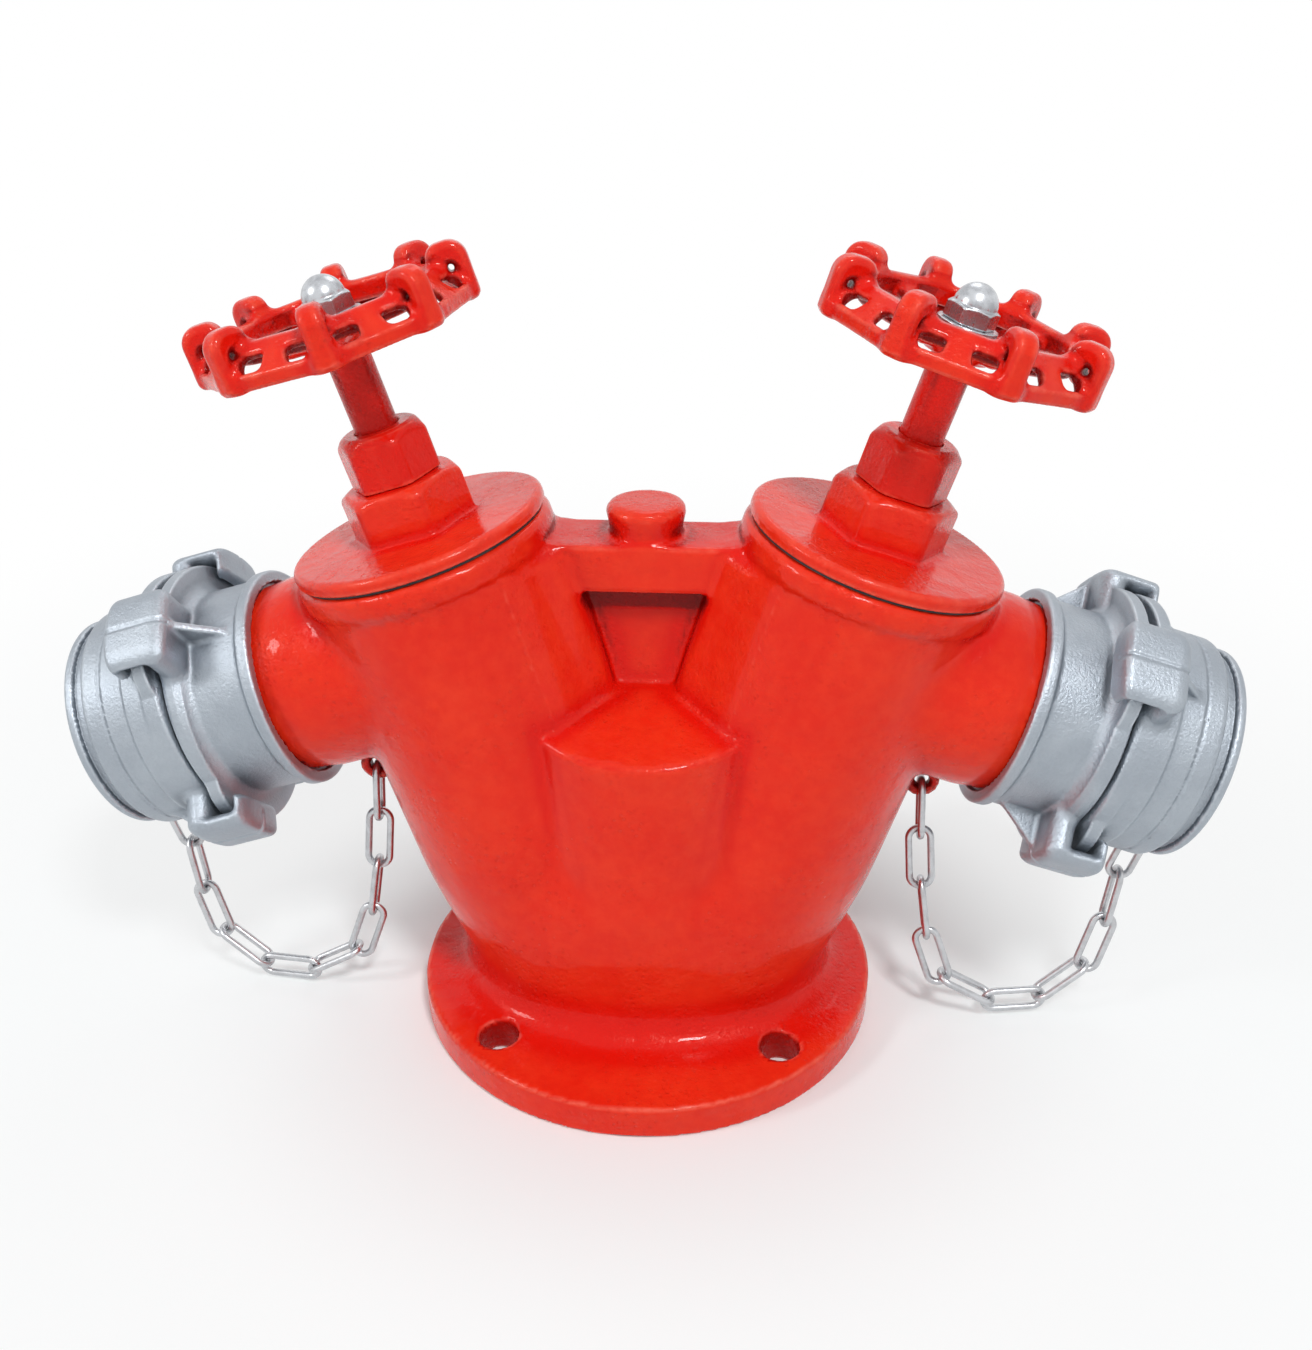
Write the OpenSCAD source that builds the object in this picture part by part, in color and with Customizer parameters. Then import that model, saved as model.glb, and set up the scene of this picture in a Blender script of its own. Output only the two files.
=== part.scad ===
// Fire department connection: twin inlet breeching body on a bolt flange, with two
// leaning screw-down angle valves, two claw hose couplings and two chained claw caps.
// Lengths along a barrel are measured from the flange face, along the barrel's axis.
// Lengths along an inlet are measured from the barrel's axis, along the inlet's axis.

/* [Bolt flange] */
// Radius of the bolt flange
flange_r = 107.5; // [104:0.5:112]
// Thickness of the bolt flange
flange_t = 16; // [12:0.5:20]
// Diameter of the pitch circle of the flange bolts
bolt_pcd = 180; // [176:1:184]
// Diameter of the flange bolt holes
bolt_hole_d = 18; // [14:0.5:20]
// Number of flange bolts
bolt_count = 4; // [4, 8]
// Radius of the waterway through the flange
waterway_r = 50; // [44:0.5:52]

/* [Body casting] */
// Lean of each barrel from the vertical, in degrees
barrel_tilt = 17.3; // [16:0.1:18.5]
// Distance of each barrel's axis from the centre line at the flange face
barrel_foot_x = 24; // [22:0.5:26]
// Outer radius of a barrel where it leaves the flange
barrel_foot_r = 49.5; // [48:0.25:51]
// Outer radius of a barrel past its taper
barrel_r = 54.6; // [53.5:0.1:55.5]
// Length along a barrel at which its taper ends
barrel_taper_l = 100; // [80:1:120]
// Length of a barrel up to its top face
barrel_l = 241.8; // [240:0.2:246]
// Wall thickness of a barrel round the water
barrel_wall = 7.6; // [6.5:0.1:8.5]
// Radius of the lip band at the top of a barrel
lip_r = 56.6; // [56:0.1:58]
// Height of the lip band
lip_h = 14; // [10:0.5:18]
// Reach of a barrel's flank towards the centre line, from the barrel's axis
flank_reach = 61; // [59:0.5:62]
// Radius of the round column between the barrels
column_r = 62; // [60:0.5:64]
// Depth of the column's front and back edges below the web's top
column_drop = 79.7; // [76:0.1:86]
// Wall thickness of the column round the water
column_wall = 8.5; // [7:0.5:10]
// Height at which the foot has faded into the column
foot_top_h = 92; // [70:1:110]
// Height of the fillet round the foot of the body
foot_fillet = 6; // [3:0.5:8]

/* [Web and boss] */
// Rise of the web's flat top above the middle of the barrels' top faces
web_rise = 4.84; // [2:0.02:6]
// Thickness of the web's head
web_t = 33; // [30:0.5:36]
// Height of the web's head, above the pocket
web_head_h = 21; // [17:0.5:25]
// Thickness of the thin wall behind the pocket
membrane_t = 6; // [4:0.5:8]
// Depth of the ridge at which the pocket's floor begins, below the web's top
saddle_drop = 65.7; // [60:0.1:68]
// Radius of the boss on the web
boss_r = 15; // [12:0.25:15.5]
// Height of the boss
boss_h = 13; // [6:0.5:16]

/* [Inlet necks] */
// Depth of the inlet's axis below the barrel's top face
inlet_drop = 46.2; // [45:0.1:49]
// Outer radius of an inlet neck
neck_r = 43.5; // [42:0.25:44.5]
// Length of a neck from the barrel's axis to its shoulder
neck_l = 72; // [70:0.5:76]
// Radius of a neck just inside the coupling's mouth
neck_tail_r = 42.3; // [41.8:0.1:42.8]
// Radius of the threaded spigot at the end of a neck
spigot_r = 40; // [39:0.1:40.6]
// Length of the threaded spigot past the neck's tail
spigot_l = 19; // [15:0.5:22]
// Radius of the water bore through neck and coupling
inlet_bore_r = 33; // [30:0.5:34]
// Thickness of the chain ear on a barrel
ear_t = 5.5; // [4.5:0.25:5.75]
// Radius of the ear round its hole
ear_r = 8; // [7:0.25:9]
// Radius of the holes that the chain hangs in
chain_hole_r = 3.3; // [3.1:0.1:3.6]
// Depth of the ear below the inlet's axis
ear_drop = 51.3; // [47:0.1:56]
// Distance of the ear's hole from the barrel's skin
ear_out = 5.9; // [5.5:0.1:7]

/* [Valve inside] */
// Depth of the seat below the inlet's axis
seat_drop = 35.6; // [34.6:0.1:36.6]
// Radius of the opening through the seat
seat_bore_r = 32.5; // [30:0.5:34]
// Radius of the valve disc
disc_r = 39; // [38:0.25:41]
// Thickness of the disc's plate
disc_t = 8; // [6:0.5:9]
// Thickness of the rubber facing under the disc
facing_t = 6; // [5:0.5:8]
// Thickness of the plate that clamps the facing
clamp_t = 3; // [2:0.5:4]
// Width across flats of the nut under the disc
seal_nut_af = 16; // [14:1:20]
// Radius of the button at the stem's foot
button_r = 11; // [10:0.25:11.5]
// Height of the button
button_h = 8; // [6:0.5:9]
// How far the valve lifts when it is open
valve_lift = 20; // [14:0.5:20]
// Rise of the stem in one turn
stem_lead = 5; // [4:0.5:6]

/* [Stem and bonnet] */
// Radius of the stem where it shows
stem_r = 9.2; // [8.8:0.1:10]
// Radius of the stem's thread
thread_r = 12; // [11.5:0.25:12.5]
// Thickness of the black joint ring under the bonnet
gasket_t = 1.1; // [0.8:0.1:2]
// Radius of the bonnet's disc
bonnet_r = 55.75; // [55:0.25:56.5]
// Thickness of the bonnet's disc
bonnet_t = 5.8; // [5:0.2:8]
// Width across flats of the bonnet's hexagon
bonnet_af = 47.5; // [45:0.5:51]
// Height of the bonnet's hexagon
bonnet_hex_h = 21.5; // [18:0.5:22]
// Depth of the bonnet's screwed skirt inside the barrel
skirt_h = 18; // [14:0.5:19]
// Width across flats of the gland nut
gland_af = 34.5; // [34:0.5:38]
// Height of the gland nut
gland_nut_h = 21.5; // [20:0.5:24]
// Radius of the packing chamber
packing_r = 13; // [12.75:0.05:13.2]

/* [Handwheel] */
// Outer radius of the handwheel at its lobes
wheel_r = 59.5; // [56:0.5:62]
// Number of lobes round the handwheel
lobe_count = 8; // [6:1:10]
// Height of the handwheel at its lobes
wheel_h = 24; // [21:0.5:25]
// Height of the handwheel's lowest edge above the barrel's top face
wheel_rise = 88.2; // [86:0.1:92]
// Height of the lower band of the rim
rim_band_h = 6; // [4:0.25:6]
// Thickness of the rim's walls
rim_t = 4.5; // [4:0.25:6]
// Radius of the upper ring, measured to its inner edge
ring_r = 41.5; // [40:0.5:43]
// Thickness of a lobe's hoop
hoop_t = 8; // [6:0.5:10]
// Number of windows between two lobes
window_count = 2; // [1, 2]
// Number of spokes
spoke_count = 4; // [4:1:5]
// Resting angle of the left handwheel, in degrees
wheel_turn_left = 11; // [-20:1:20]
// Resting angle of the right handwheel, in degrees
wheel_turn_right = 11; // [-20:1:20]
// Radius of the handwheel's hub
hub_r = 14; // [13:0.5:17]
// Height of the hub above the handwheel's lowest edge
hub_top_h = 9.5; // [8:0.1:11]
// Side of the stem's square end
square_w = 11; // [10:0.5:11.5]
// Radius of the stud above the square
stud_r = 5; // [4:0.1:5]
// Radius of the washer under the domed nut
washer_r = 12.2; // [11.5:0.1:14]
// Thickness of that washer
washer_t = 1.9; // [1.2:0.1:3]
// Width across flats of the domed nut
acorn_af = 18; // [17:0.5:20]
// Height of the domed nut's hexagon
acorn_hex_h = 7.4; // [6:0.2:9]
// Radius of the nut's dome
dome_r = 8.5; // [8:0.1:8.8]

/* [Claw couplings] */
// Distance of the joint plane between coupling and cap from the barrel's axis
joint_d = 117.5; // [116:0.5:120]
// Gap between the two front faces of a closed joint
face_gap = 1.2; // [0.8:0.1:2]
// Radius of the coupling's end bead
bead_r = 49; // [48:0.25:50]
// Length of the end bead
bead_l = 6; // [4:0.5:8]
// Radius of the coupling's neck
coupling_neck_r = 46.4; // [45.5:0.1:47.5]
// Radius of the flange at a claw head's front face
head_r = 51.5; // [51:0.1:52]
// Thickness of that flange
head_t = 6; // [4:0.5:8]
// Distance of a claw's flat outer face from the axis
claw_reach = 69; // [66:0.5:70]
// Width of a claw across its front
claw_w = 38; // [32:0.5:38]
// Radius of a claw's rounded corners
claw_round = 5; // [3:0.5:6]
// Length of the claw's root behind the front face
claw_root_l = 12; // [9:0.5:13]
// Thickness of the hooked lip of a claw
lip_t = 7.5; // [5:0.5:8]
// Distance of the hooked lip's inner edge from the axis
lip_in_r = 53; // [52.5:0.1:54]
// Greatest reach of the crescent ledge from the axis
ledge_reach = 59.5; // [59:0.25:60.5]
// Thickness of the crescent ledge under a closed claw
ledge_t = 8.2; // [7:0.2:9]
// Thickness of the fin behind a claw
fin_t = 3.6; // [2.5:0.1:5]
// Length of the fin behind a claw's root
fin_l = 17; // [12:0.5:18]
// Angle of the coupling's claw from the top towards the front, left side
claw_angle_left = 34; // [30:1:42]
// Angle of the coupling's claw from the top towards the front, right side
claw_angle_right = -40; // [-46:1:-34]
// Angle between a coupling's claw and the closed cap's, in degrees
lock_angle = 79; // [76:1:82]

/* [Claw caps] */
// Length of the cap ring's wider front part
cap_front_l = 18.5; // [16:0.5:20]
// Radius of the cap ring's band
cap_band_r = 50; // [49:0.25:50.8]
// Length of the whole cap ring
cap_ring_l = 38; // [37:0.1:40]
// Radius of the bore that turns on the plug
cap_bore_r = 41.3; // [41:0.1:42]
// Radius of the plug's outer lip
plug_lip_r = 47.5; // [46.5:0.25:48.5]
// Thickness of that lip
plug_lip_t = 4.6; // [4:0.1:5]
// Width of the groove between cap ring and lip
groove_w = 4.9; // [4.6:0.1:5.5]
// Radius of the groove's floor
groove_r = 45; // [44:0.25:45.8]
// Height of the plug's domed end
plug_dome_h = 2.2; // [1.5:0.1:4]
// Angle that the cap turns to come free, in degrees
unlock_turn = 50; // [40:1:50]
// Travel of the cap along its axis over that angle
unlock_travel = 1.16; // [0.8:0.02:1.3]

/* [Seals] */
// Inner radius of the rubber face rings
face_seal_in_r = 31.5; // [31:0.1:33]
// Outer radius of the rubber face rings
face_seal_r = 38.5; // [37:0.1:39]
// Depth of the groove that holds a face ring
face_seal_d = 4; // [3:0.25:6]
// Thickness of the flat ring behind the spigot
inlet_gasket_t = 2.5; // [1.5:0.25:4]

/* [Chains] */
// Diameter of the chain's wire
wire_d = 3.3; // [3:0.1:3.4]
// Outside length of a link
link_l = 32; // [31:0.5:33]
// Outside width of a link
link_w = 13.4; // [13:0.1:14]
// Number of links in each chain
link_count = 10; // [10]
// Forward lean of the left chain's sides, as a slope
lean_left = 0.16; // [0:0.01:0.25]
// Forward lean of the right chain's sides, as a slope
lean_right = 0.24; // [0:0.01:0.25]

/* [Clearances] */
// Clearance of screwed and seated fits that don't move
fit_gap = 0.1; // [0.05:0.01:0.15]
// Radial clearance of the fits that turn or slide
running_gap = 0.08; // [0.05:0.01:0.1]
// Clearance between faces that move past each other
moving_gap = 0.35; // [0.3:0.01:0.4]

/* [Hidden] */
$fn = 96;
SIDES = ["left", "right"];
PARTS = ["seat_ring", "valve_disc", "disc_seal", "seal_plate", "seal_nut", "stem_lock", "stem",
         "bonnet", "bonnet_gasket", "packing", "gland_ring", "gland_nut", "handwheel",
         "wheel_washer", "acorn_nut", "coupling", "inlet_gasket", "coupling_seal", "cap_ring",
         "cap_plug", "cap_lock_wire", "cap_seal", "chain"];

eps = 0.01;
// Places that follow from the barrel's top face
inlet_l = barrel_l - inlet_drop;
seat_l = inlet_l - seat_drop;
ear_l = inlet_l - ear_drop;
wheel_l = barrel_l + wheel_rise;
web_top_h = barrel_l * cos(barrel_tilt) + web_rise;
column_edge_h = web_top_h - column_drop;
saddle_ridge_h = web_top_h - saddle_drop;
// A barrel starts where its outer edge lies inside the flange
barrel_start_l = (barrel_foot_r * sin(barrel_tilt) + flange_t / 8) / cos(barrel_tilt);
// Barrel: the flank is a blunt wedge whose sides run close to the barrel's skin
flank_side = [barrel_r * cos(36), barrel_r * sin(36)];
chamber_r = barrel_r - barrel_wall;
shelf_t = 10;
shelf_bore_r = seat_bore_r + 5.5;
shelf_l = seat_l - 4;
passage_r = barrel_foot_r - barrel_wall + 1.6;
column_cavity_h = column_edge_h - 18;
// Valve inside
disc_l = seat_l + facing_t;
socket_r = button_r + moving_gap;
socket_l = disc_l + disc_t + 3;
lock_l = socket_l + button_h + 2 * moving_gap;
lock_h = 9;
lock_r = button_r + 2.8;
boss_wall = 3;
disc_boss_r = lock_r + boss_wall;
stem_neck_r = button_r - 3;
seal_stud_r = 5;
seal_nut_h = 8;
// Stem and bonnet
bonnet_l = barrel_l + gasket_t;
bonnet_top_l = bonnet_l + bonnet_t;
hex_top_l = bonnet_top_l + bonnet_hex_h;
thread_foot_l = lock_l + lock_h + 5;
thread_top_l = bonnet_l - 4.5;
bonnet_nut_l = lock_l + lock_h + valve_lift + 2 * moving_gap;
packing_l = thread_top_l + valve_lift + 2.5;
packing_h = 14;
gland_neck_r = gland_af / 2 - 2.6;
gland_nut_l = hex_top_l + 1.6;
gland_nut_top_l = gland_nut_l + gland_nut_h;
gland_roof_t = 5;
gland_neck_l = gland_nut_top_l - gland_roof_t - 3;
// Handwheel
hub_foot_l = wheel_l - 1;
hub_top_l = wheel_l + hub_top_h;
acorn_l = hub_top_l + washer_t;
ring_h = 5.5;
ring_top_h = wheel_h - 6;
// Claw couplings: z = 0 is a head's own front face, z > 0 points at the other head
lip_z = face_gap + ledge_t + 3 * moving_gap;
claw_tip_z = lip_z + lip_t;
slot_r = ledge_reach + 2 * moving_gap;
ledge_fade = lock_angle + 7;
ledge_end = lock_angle + 34;
ledge_slope = unlock_travel / (unlock_turn * PI / 180);
lip_contact_r = (lip_in_r + ledge_reach) / 2;
coupling_mouth_d = neck_l + 5;
spigot_shoulder_d = neck_l + 8;
spigot_end_d = spigot_shoulder_d + spigot_l;
cap_face_d = joint_d + face_gap / 2;
coupling_face_d = joint_d - face_gap / 2;
cap_end_d = cap_face_d + cap_ring_l;
groove_d = cap_end_d + moving_gap - 0.05;
plug_lip_d = groove_d + groove_w;
plug_end_d = plug_lip_d + plug_lip_t;
plug_r = cap_bore_r - running_gap;
lock_wire_r = 1.3;
lock_wire_d = cap_end_d - 7;
plug_hole_r = plug_lip_r - 6;
slot_floor_r = plug_hole_r - wire_d / 2 - 2.2;
plug_chain_r = chain_hole_r + 0.7;
plug_chain_d = plug_lip_d - moving_gap + link_w / 2 - wire_d;
// Chains: even links lie across the hanging plane and odd ones in it
half_link = (link_l - wire_d) / 2;
bow_r = (link_w - wire_d) / 2;
link_gap = 0.2;
hang_count = link_count - 1;
ear_u = barrel_r + ear_out;
hole_drop = chain_hole_r - bow_r + sqrt(pow(bow_r - wire_d / 2, 2) - pow(ear_t / 2, 2)) - link_gap;

function side_sign(side) = side == "left" ? -1 : 1;
function rounded(x0, x1, y0, y1, r) =
    concat(arc(x1 - r, y0 + r, r, -90, 0, 4), arc(x1 - r, y1 - r, r, 0, 90, 4),
           arc(x0 + r, y1 - r, r, 90, 180, 4), arc(x0 + r, y0 + r, r, 180, 270, 4));
function arc(cx, cy, r, a0, a1, n) =
    [for (i = [0 : n]) let (a = a0 + (a1 - a0) * i / n) [cx + r * cos(a), cy + r * sin(a)]];

// Places its children on a barrel's axis: z runs up the barrel, x points outwards
module on_barrel(s) {
    translate([s * barrel_foot_x, 0, 0]) rotate([0, s * barrel_tilt, 0]) rotate([0, 0, s > 0 ? 0 : 180]) children();
}

// Places its children on an inlet's axis: z runs outwards, x points up
module on_inlet(s) {
    on_barrel(s) translate([0, 0, inlet_l]) rotate([0, 90, 0]) rotate([0, 0, 180]) children();
}

module tube(r_out, r_in, z0, z1) {
    translate([0, 0, z0]) difference() {
        cylinder(r = r_out, h = z1 - z0);
        translate([0, 0, -1]) cylinder(r = r_in, h = z1 - z0 + 2);
    }
}

module hex_prism(af, h) {
    cylinder(r = af / 2 / cos(30), h = h, $fn = 6);
}

// A hexagon whose upper corners are turned off
module chamfered_hex(af, h, drop) {
    intersection() {
        hex_prism(af, h);
        rotate_extrude() polygon([[0, -1], [af, -1], [af, h - drop - (af - af / 2) * 0.577],
                                  [af / 2 - 0.5, h], [0, h]]);
    }
}

module body() {
    color("red") difference() {
        union() {
            flange_disc();
            foot();
            column();
            for (s = [-1, 1]) {
                on_barrel(s) barrel_skin();
                on_inlet(s) neck_skin();
                on_barrel(s) ear();
            }
            web();
        }
        waterways();
        flange_holes();
        for (s = [-1, 1]) on_barrel(s) ear_hole();
    }
}

module flange_disc() {
    edge = 1.2;
    rotate_extrude() polygon([[0, 0], [flange_r - edge, 0], [flange_r, edge],
                              [flange_r, flange_t - edge], [flange_r - edge, flange_t], [0, flange_t]]);
}

// One smooth foot in which the barrels and the column fade into each other
module foot() {
    $fn = 48;
    lean_x = (flange_t + foot_fillet) * tan(barrel_tilt);
    hull() {
        for (s = [-1, 1]) translate([s * (barrel_foot_x + lean_x - 1), 0, flange_t - 1])
            cylinder(r = barrel_foot_r + 0.5, h = foot_fillet + 1);
        translate([0, 0, flange_t - 1]) cylinder(r = column_r, h = foot_top_h - flange_t);
    }
    hull() for (s = [-1, 1]) translate([s * (barrel_foot_x + lean_x - 1), 0, flange_t - eps])
        cylinder(r1 = barrel_foot_r + foot_fillet, r2 = barrel_foot_r, h = foot_fillet);
    translate([0, 0, flange_t - eps]) cylinder(r1 = column_r + foot_fillet, r2 = column_r, h = foot_fillet);
}

// The column's top falls from a ridge to its front and back edges
module column() {
    slope_y = saddle_ridge_h / 17;
    intersection() {
        cylinder(r = column_r, h = saddle_ridge_h + 10);
        rotate([90, 0, 90]) translate([0, 0, -column_r - 1]) linear_extrude(2 * column_r + 2)
            polygon([[-column_r - 1, 1], [-column_r - 1, column_edge_h], [-slope_y, saddle_ridge_h],
                     [slope_y, saddle_ridge_h], [column_r + 1, column_edge_h], [column_r + 1, 1]]);
    }
}

// Tapered barrel with its lip band, and the flank that joins it to the web
module barrel_skin() {
    lip_z0 = barrel_l - lip_h;
    rotate_extrude() polygon([[0, barrel_start_l], [barrel_foot_r, barrel_start_l], [barrel_foot_r, flange_t + 20],
                              [barrel_r, barrel_taper_l], [barrel_r, lip_z0], [lip_r - 0.6, lip_z0 + 2.5],
                              [lip_r, lip_z0 + 4], [lip_r, barrel_l - 1.5], [lip_r - 0.8, barrel_l], [0, barrel_l]]);
    flank_foot = column_edge_h / 2;
    flank_top = web_top_h / cos(barrel_tilt) - flank_reach * tan(barrel_tilt);
    translate([0, 0, flank_foot]) linear_extrude(flank_top - flank_foot)
        polygon([[0, -flank_side[1]], [-flank_side[0], -flank_side[1]], [-flank_reach, -web_t / 2],
                 [-flank_reach, web_t / 2], [-flank_side[0], flank_side[1]], [0, flank_side[1]]]);
}

module neck_skin() {
    cylinder(r = neck_r, h = neck_l);
    cylinder(r = neck_tail_r, h = spigot_shoulder_d);
    cylinder(r = spigot_r, h = spigot_end_d);
}

module web() {
    head_foot_h = web_top_h - web_head_h;
    half_w = web_top_h * tan(barrel_tilt);
    translate([-half_w / 2, -web_t / 2, head_foot_h]) cube([half_w, web_t, web_head_h]);
    translate([-half_w / 2, -membrane_t / 2, column_edge_h])
        cube([half_w, membrane_t, head_foot_h - column_edge_h + 1]);
    // Sloping wall at the foot of the pockets
    slope_top = saddle_ridge_h + web_head_h + 3;
    rotate([90, 0, 90]) translate([0, 0, -half_w / 2]) linear_extrude(half_w)
        polygon([[-saddle_ridge_h / 17, saddle_ridge_h - 1], [-membrane_t / 2, slope_top],
                 [membrane_t / 2, slope_top], [saddle_ridge_h / 17, saddle_ridge_h - 1]]);
    translate([0, 0, web_top_h - 1]) rotate_extrude()
        polygon([[0, 0], [boss_r + 1.5, 0], [boss_r + 1.5, 1], [boss_r, 3], [boss_r - 0.8, boss_h - 2],
                 [boss_r - 3.4, boss_h + 1], [0, boss_h + 1]]);
}

module ear() {
    rotate([90, 0, 0]) translate([ear_u, ear_l, -ear_t / 2]) {
        cylinder(r = ear_r, h = ear_t);
        translate([-ear_out - 4, -ear_r + 1, 0]) cube([ear_out + 4, 2 * ear_r + 8, ear_t]);
    }
}

module ear_hole() {
    rotate([90, 0, 0]) translate([ear_u, ear_l, -ear_t]) cylinder(r = chain_hole_r, h = 2 * ear_t);
}

module waterways() {
    translate([0, 0, -1]) cylinder(r = waterway_r, h = flange_t + 1);
    translate([0, 0, flange_t - 1]) cylinder(r = column_r - column_wall, h = column_cavity_h - flange_t);
    for (s = [-1, 1]) {
        on_barrel(s) {
            translate([0, 0, flange_t + 4]) cylinder(r = passage_r, h = shelf_l - shelf_t - flange_t - 4);
            translate([0, 0, shelf_l - shelf_t - 1]) cylinder(r = shelf_bore_r, h = shelf_t + 2);
            translate([0, 0, shelf_l]) cylinder(r = chamber_r, h = barrel_l - shelf_l + 1);
        }
        on_inlet(s) cylinder(r = inlet_bore_r, h = spigot_end_d + 1);
    }
}

module flange_holes() {
    for (i = [0 : bolt_count - 1]) rotate([0, 0, 360 / bolt_count * (i + 0.5)])
        translate([bolt_pcd / 2, 0, -1]) cylinder(d = bolt_hole_d, h = flange_t + 2);
}

module seat_ring() {
    color("goldenrod") rotate_extrude()
        polygon([[seat_bore_r, shelf_l - shelf_t + 1], [shelf_bore_r - fit_gap, shelf_l - shelf_t + 1],
                 [shelf_bore_r - fit_gap, shelf_l], [shelf_bore_r + 4, shelf_l],
                 [shelf_bore_r + 4, shelf_l + 2.2], [shelf_bore_r, shelf_l + 3], [seat_bore_r + 3, seat_l],
                 [seat_bore_r, seat_l]]);
}

module valve_disc() {
    plate_top = disc_l + disc_t;
    color("goldenrod") difference() {
        rotate_extrude() polygon([[0, disc_l - facing_t - clamp_t - seal_nut_h - 2],
            [seal_stud_r, disc_l - facing_t - clamp_t - seal_nut_h - 2], [seal_stud_r, disc_l],
            [disc_r - 1, disc_l], [disc_r, disc_l + 1], [disc_r, plate_top - 2], [disc_boss_r + 6, plate_top],
            [disc_boss_r, plate_top + 4], [disc_boss_r, lock_l + lock_h - 1], [0, lock_l + lock_h - 1]]);
        translate([0, 0, socket_l]) cylinder(r = socket_r, h = lock_l - socket_l + lock_h);
        translate([0, 0, lock_l]) cylinder(r = lock_r, h = lock_h + 1);
    }
}

module disc_seal() {
    color("black") tube(disc_r - 1, seal_stud_r + fit_gap, seat_l, disc_l);
}

module seal_plate() {
    color("goldenrod") tube(seat_bore_r - 4, seal_stud_r + fit_gap, seat_l - clamp_t, seat_l);
}

module seal_nut() {
    color("goldenrod") translate([0, 0, seat_l - clamp_t - seal_nut_h]) difference() {
        hex_prism(seal_nut_af, seal_nut_h);
        translate([0, 0, -1]) cylinder(r = seal_stud_r + fit_gap, h = seal_nut_h + 2);
    }
}

// Threaded collar that keeps the stem's button in the disc
module stem_lock() {
    color("goldenrod") difference() {
        tube(lock_r - fit_gap, stem_neck_r + moving_gap, lock_l, lock_l + lock_h);
        translate([-1.5, -lock_r - 1, lock_l + lock_h - 2.5]) cube([3, 2 * lock_r + 2, 3]);
    }
}

module stem() {
    color("firebrick") {
        rotate_extrude() polygon([[0, socket_l + moving_gap], [button_r - 1, socket_l + moving_gap],
            [button_r, socket_l + moving_gap + 1], [button_r, socket_l + moving_gap + button_h],
            [stem_neck_r, socket_l + moving_gap + button_h], [stem_neck_r, thread_foot_l],
            [thread_r, thread_foot_l + 2], [thread_r, thread_top_l - 1], [stem_r, thread_top_l],
            [stem_r, hub_foot_l], [0, hub_foot_l]]);
        translate([-square_w / 2, -square_w / 2, hub_foot_l - 1])
            cube([square_w, square_w, hub_top_l - hub_foot_l + 0.6]);
        translate([0, 0, hub_top_l - 1]) cylinder(r = stud_r, h = washer_t + acorn_hex_h);
    }
}

module bonnet() {
    neck_top = gland_neck_l;
    color("red") difference() {
        union() {
            rotate_extrude() polygon(concat(
                [[0, bonnet_nut_l], [thread_r + 9, bonnet_nut_l], [thread_r + 10, bonnet_l - 6],
                 [chamber_r - 7, bonnet_l - 6], [chamber_r - 6, bonnet_l - skirt_h],
                 [chamber_r - fit_gap, bonnet_l - skirt_h], [chamber_r - fit_gap, bonnet_l], [bonnet_r, bonnet_l]],
                arc(bonnet_r - 3, bonnet_top_l - 3, 3, 0, 90, 6),
                [[0, bonnet_top_l]]));
            translate([0, 0, bonnet_top_l - 1]) chamfered_hex(bonnet_af, bonnet_hex_h + 1, 1);
            translate([0, 0, hex_top_l - 1]) cylinder(r = gland_neck_r, h = neck_top - hex_top_l + 1);
        }
        translate([0, 0, bonnet_nut_l - 1]) cylinder(r = thread_r + running_gap, h = bonnet_l - bonnet_nut_l - 2);
        translate([0, 0, bonnet_l - 4]) cylinder(r = thread_r + 0.6, h = packing_l - bonnet_l + 4 + eps);
        translate([0, 0, packing_l]) cylinder(r = packing_r, h = neck_top - packing_l + 1);
    }
}

module bonnet_gasket() {
    color("black") tube(bonnet_r - 1.4, chamber_r + 0.4, barrel_l, bonnet_l);
}

module packing() {
    color("dimgray") tube(packing_r - fit_gap, stem_r + running_gap, packing_l, packing_l + packing_h);
}

module gland_ring() {
    roof = gland_nut_top_l - gland_roof_t;
    color("goldenrod") {
        tube(packing_r - fit_gap, stem_r + running_gap, packing_l + packing_h, roof);
        tube(packing_r + 1.2, stem_r + running_gap, gland_neck_l + 0.4, roof);
    }
}

module gland_nut() {
    color("red") translate([0, 0, gland_nut_l]) difference() {
        chamfered_hex(gland_af, gland_nut_h, 1);
        translate([0, 0, -1]) cylinder(r = gland_neck_r + fit_gap, h = gland_nut_h - gland_roof_t + 1);
        cylinder(r = stem_r + 0.4, h = gland_nut_h + 1);
    }
}

// Cast wheel: a sloping wall with windows, eight hooped lobes, a hub and spokes
module handwheel() {
    color("red") translate([0, 0, wheel_l]) difference() {
        union() {
            difference() {
                wheel_wall();
                for (i = [0 : lobe_count * window_count - 1])
                    rotate([0, 0, 360 / (lobe_count * window_count) * (i + 0.5)]) window();
            }
            for (i = [0 : lobe_count - 1]) rotate([0, 0, 360 / lobe_count * i]) hoop();
            for (i = [0 : spoke_count - 1]) rotate([0, 0, 360 / spoke_count * (i + 0.25)]) spoke();
            translate([0, 0, hub_foot_l - wheel_l]) cylinder(r = hub_r, h = hub_top_l - hub_foot_l);
        }
        translate([-square_w / 2 - fit_gap, -square_w / 2 - fit_gap, hub_foot_l - wheel_l - 1])
            cube([square_w + 2 * fit_gap, square_w + 2 * fit_gap, wheel_h]);
    }
}

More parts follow.
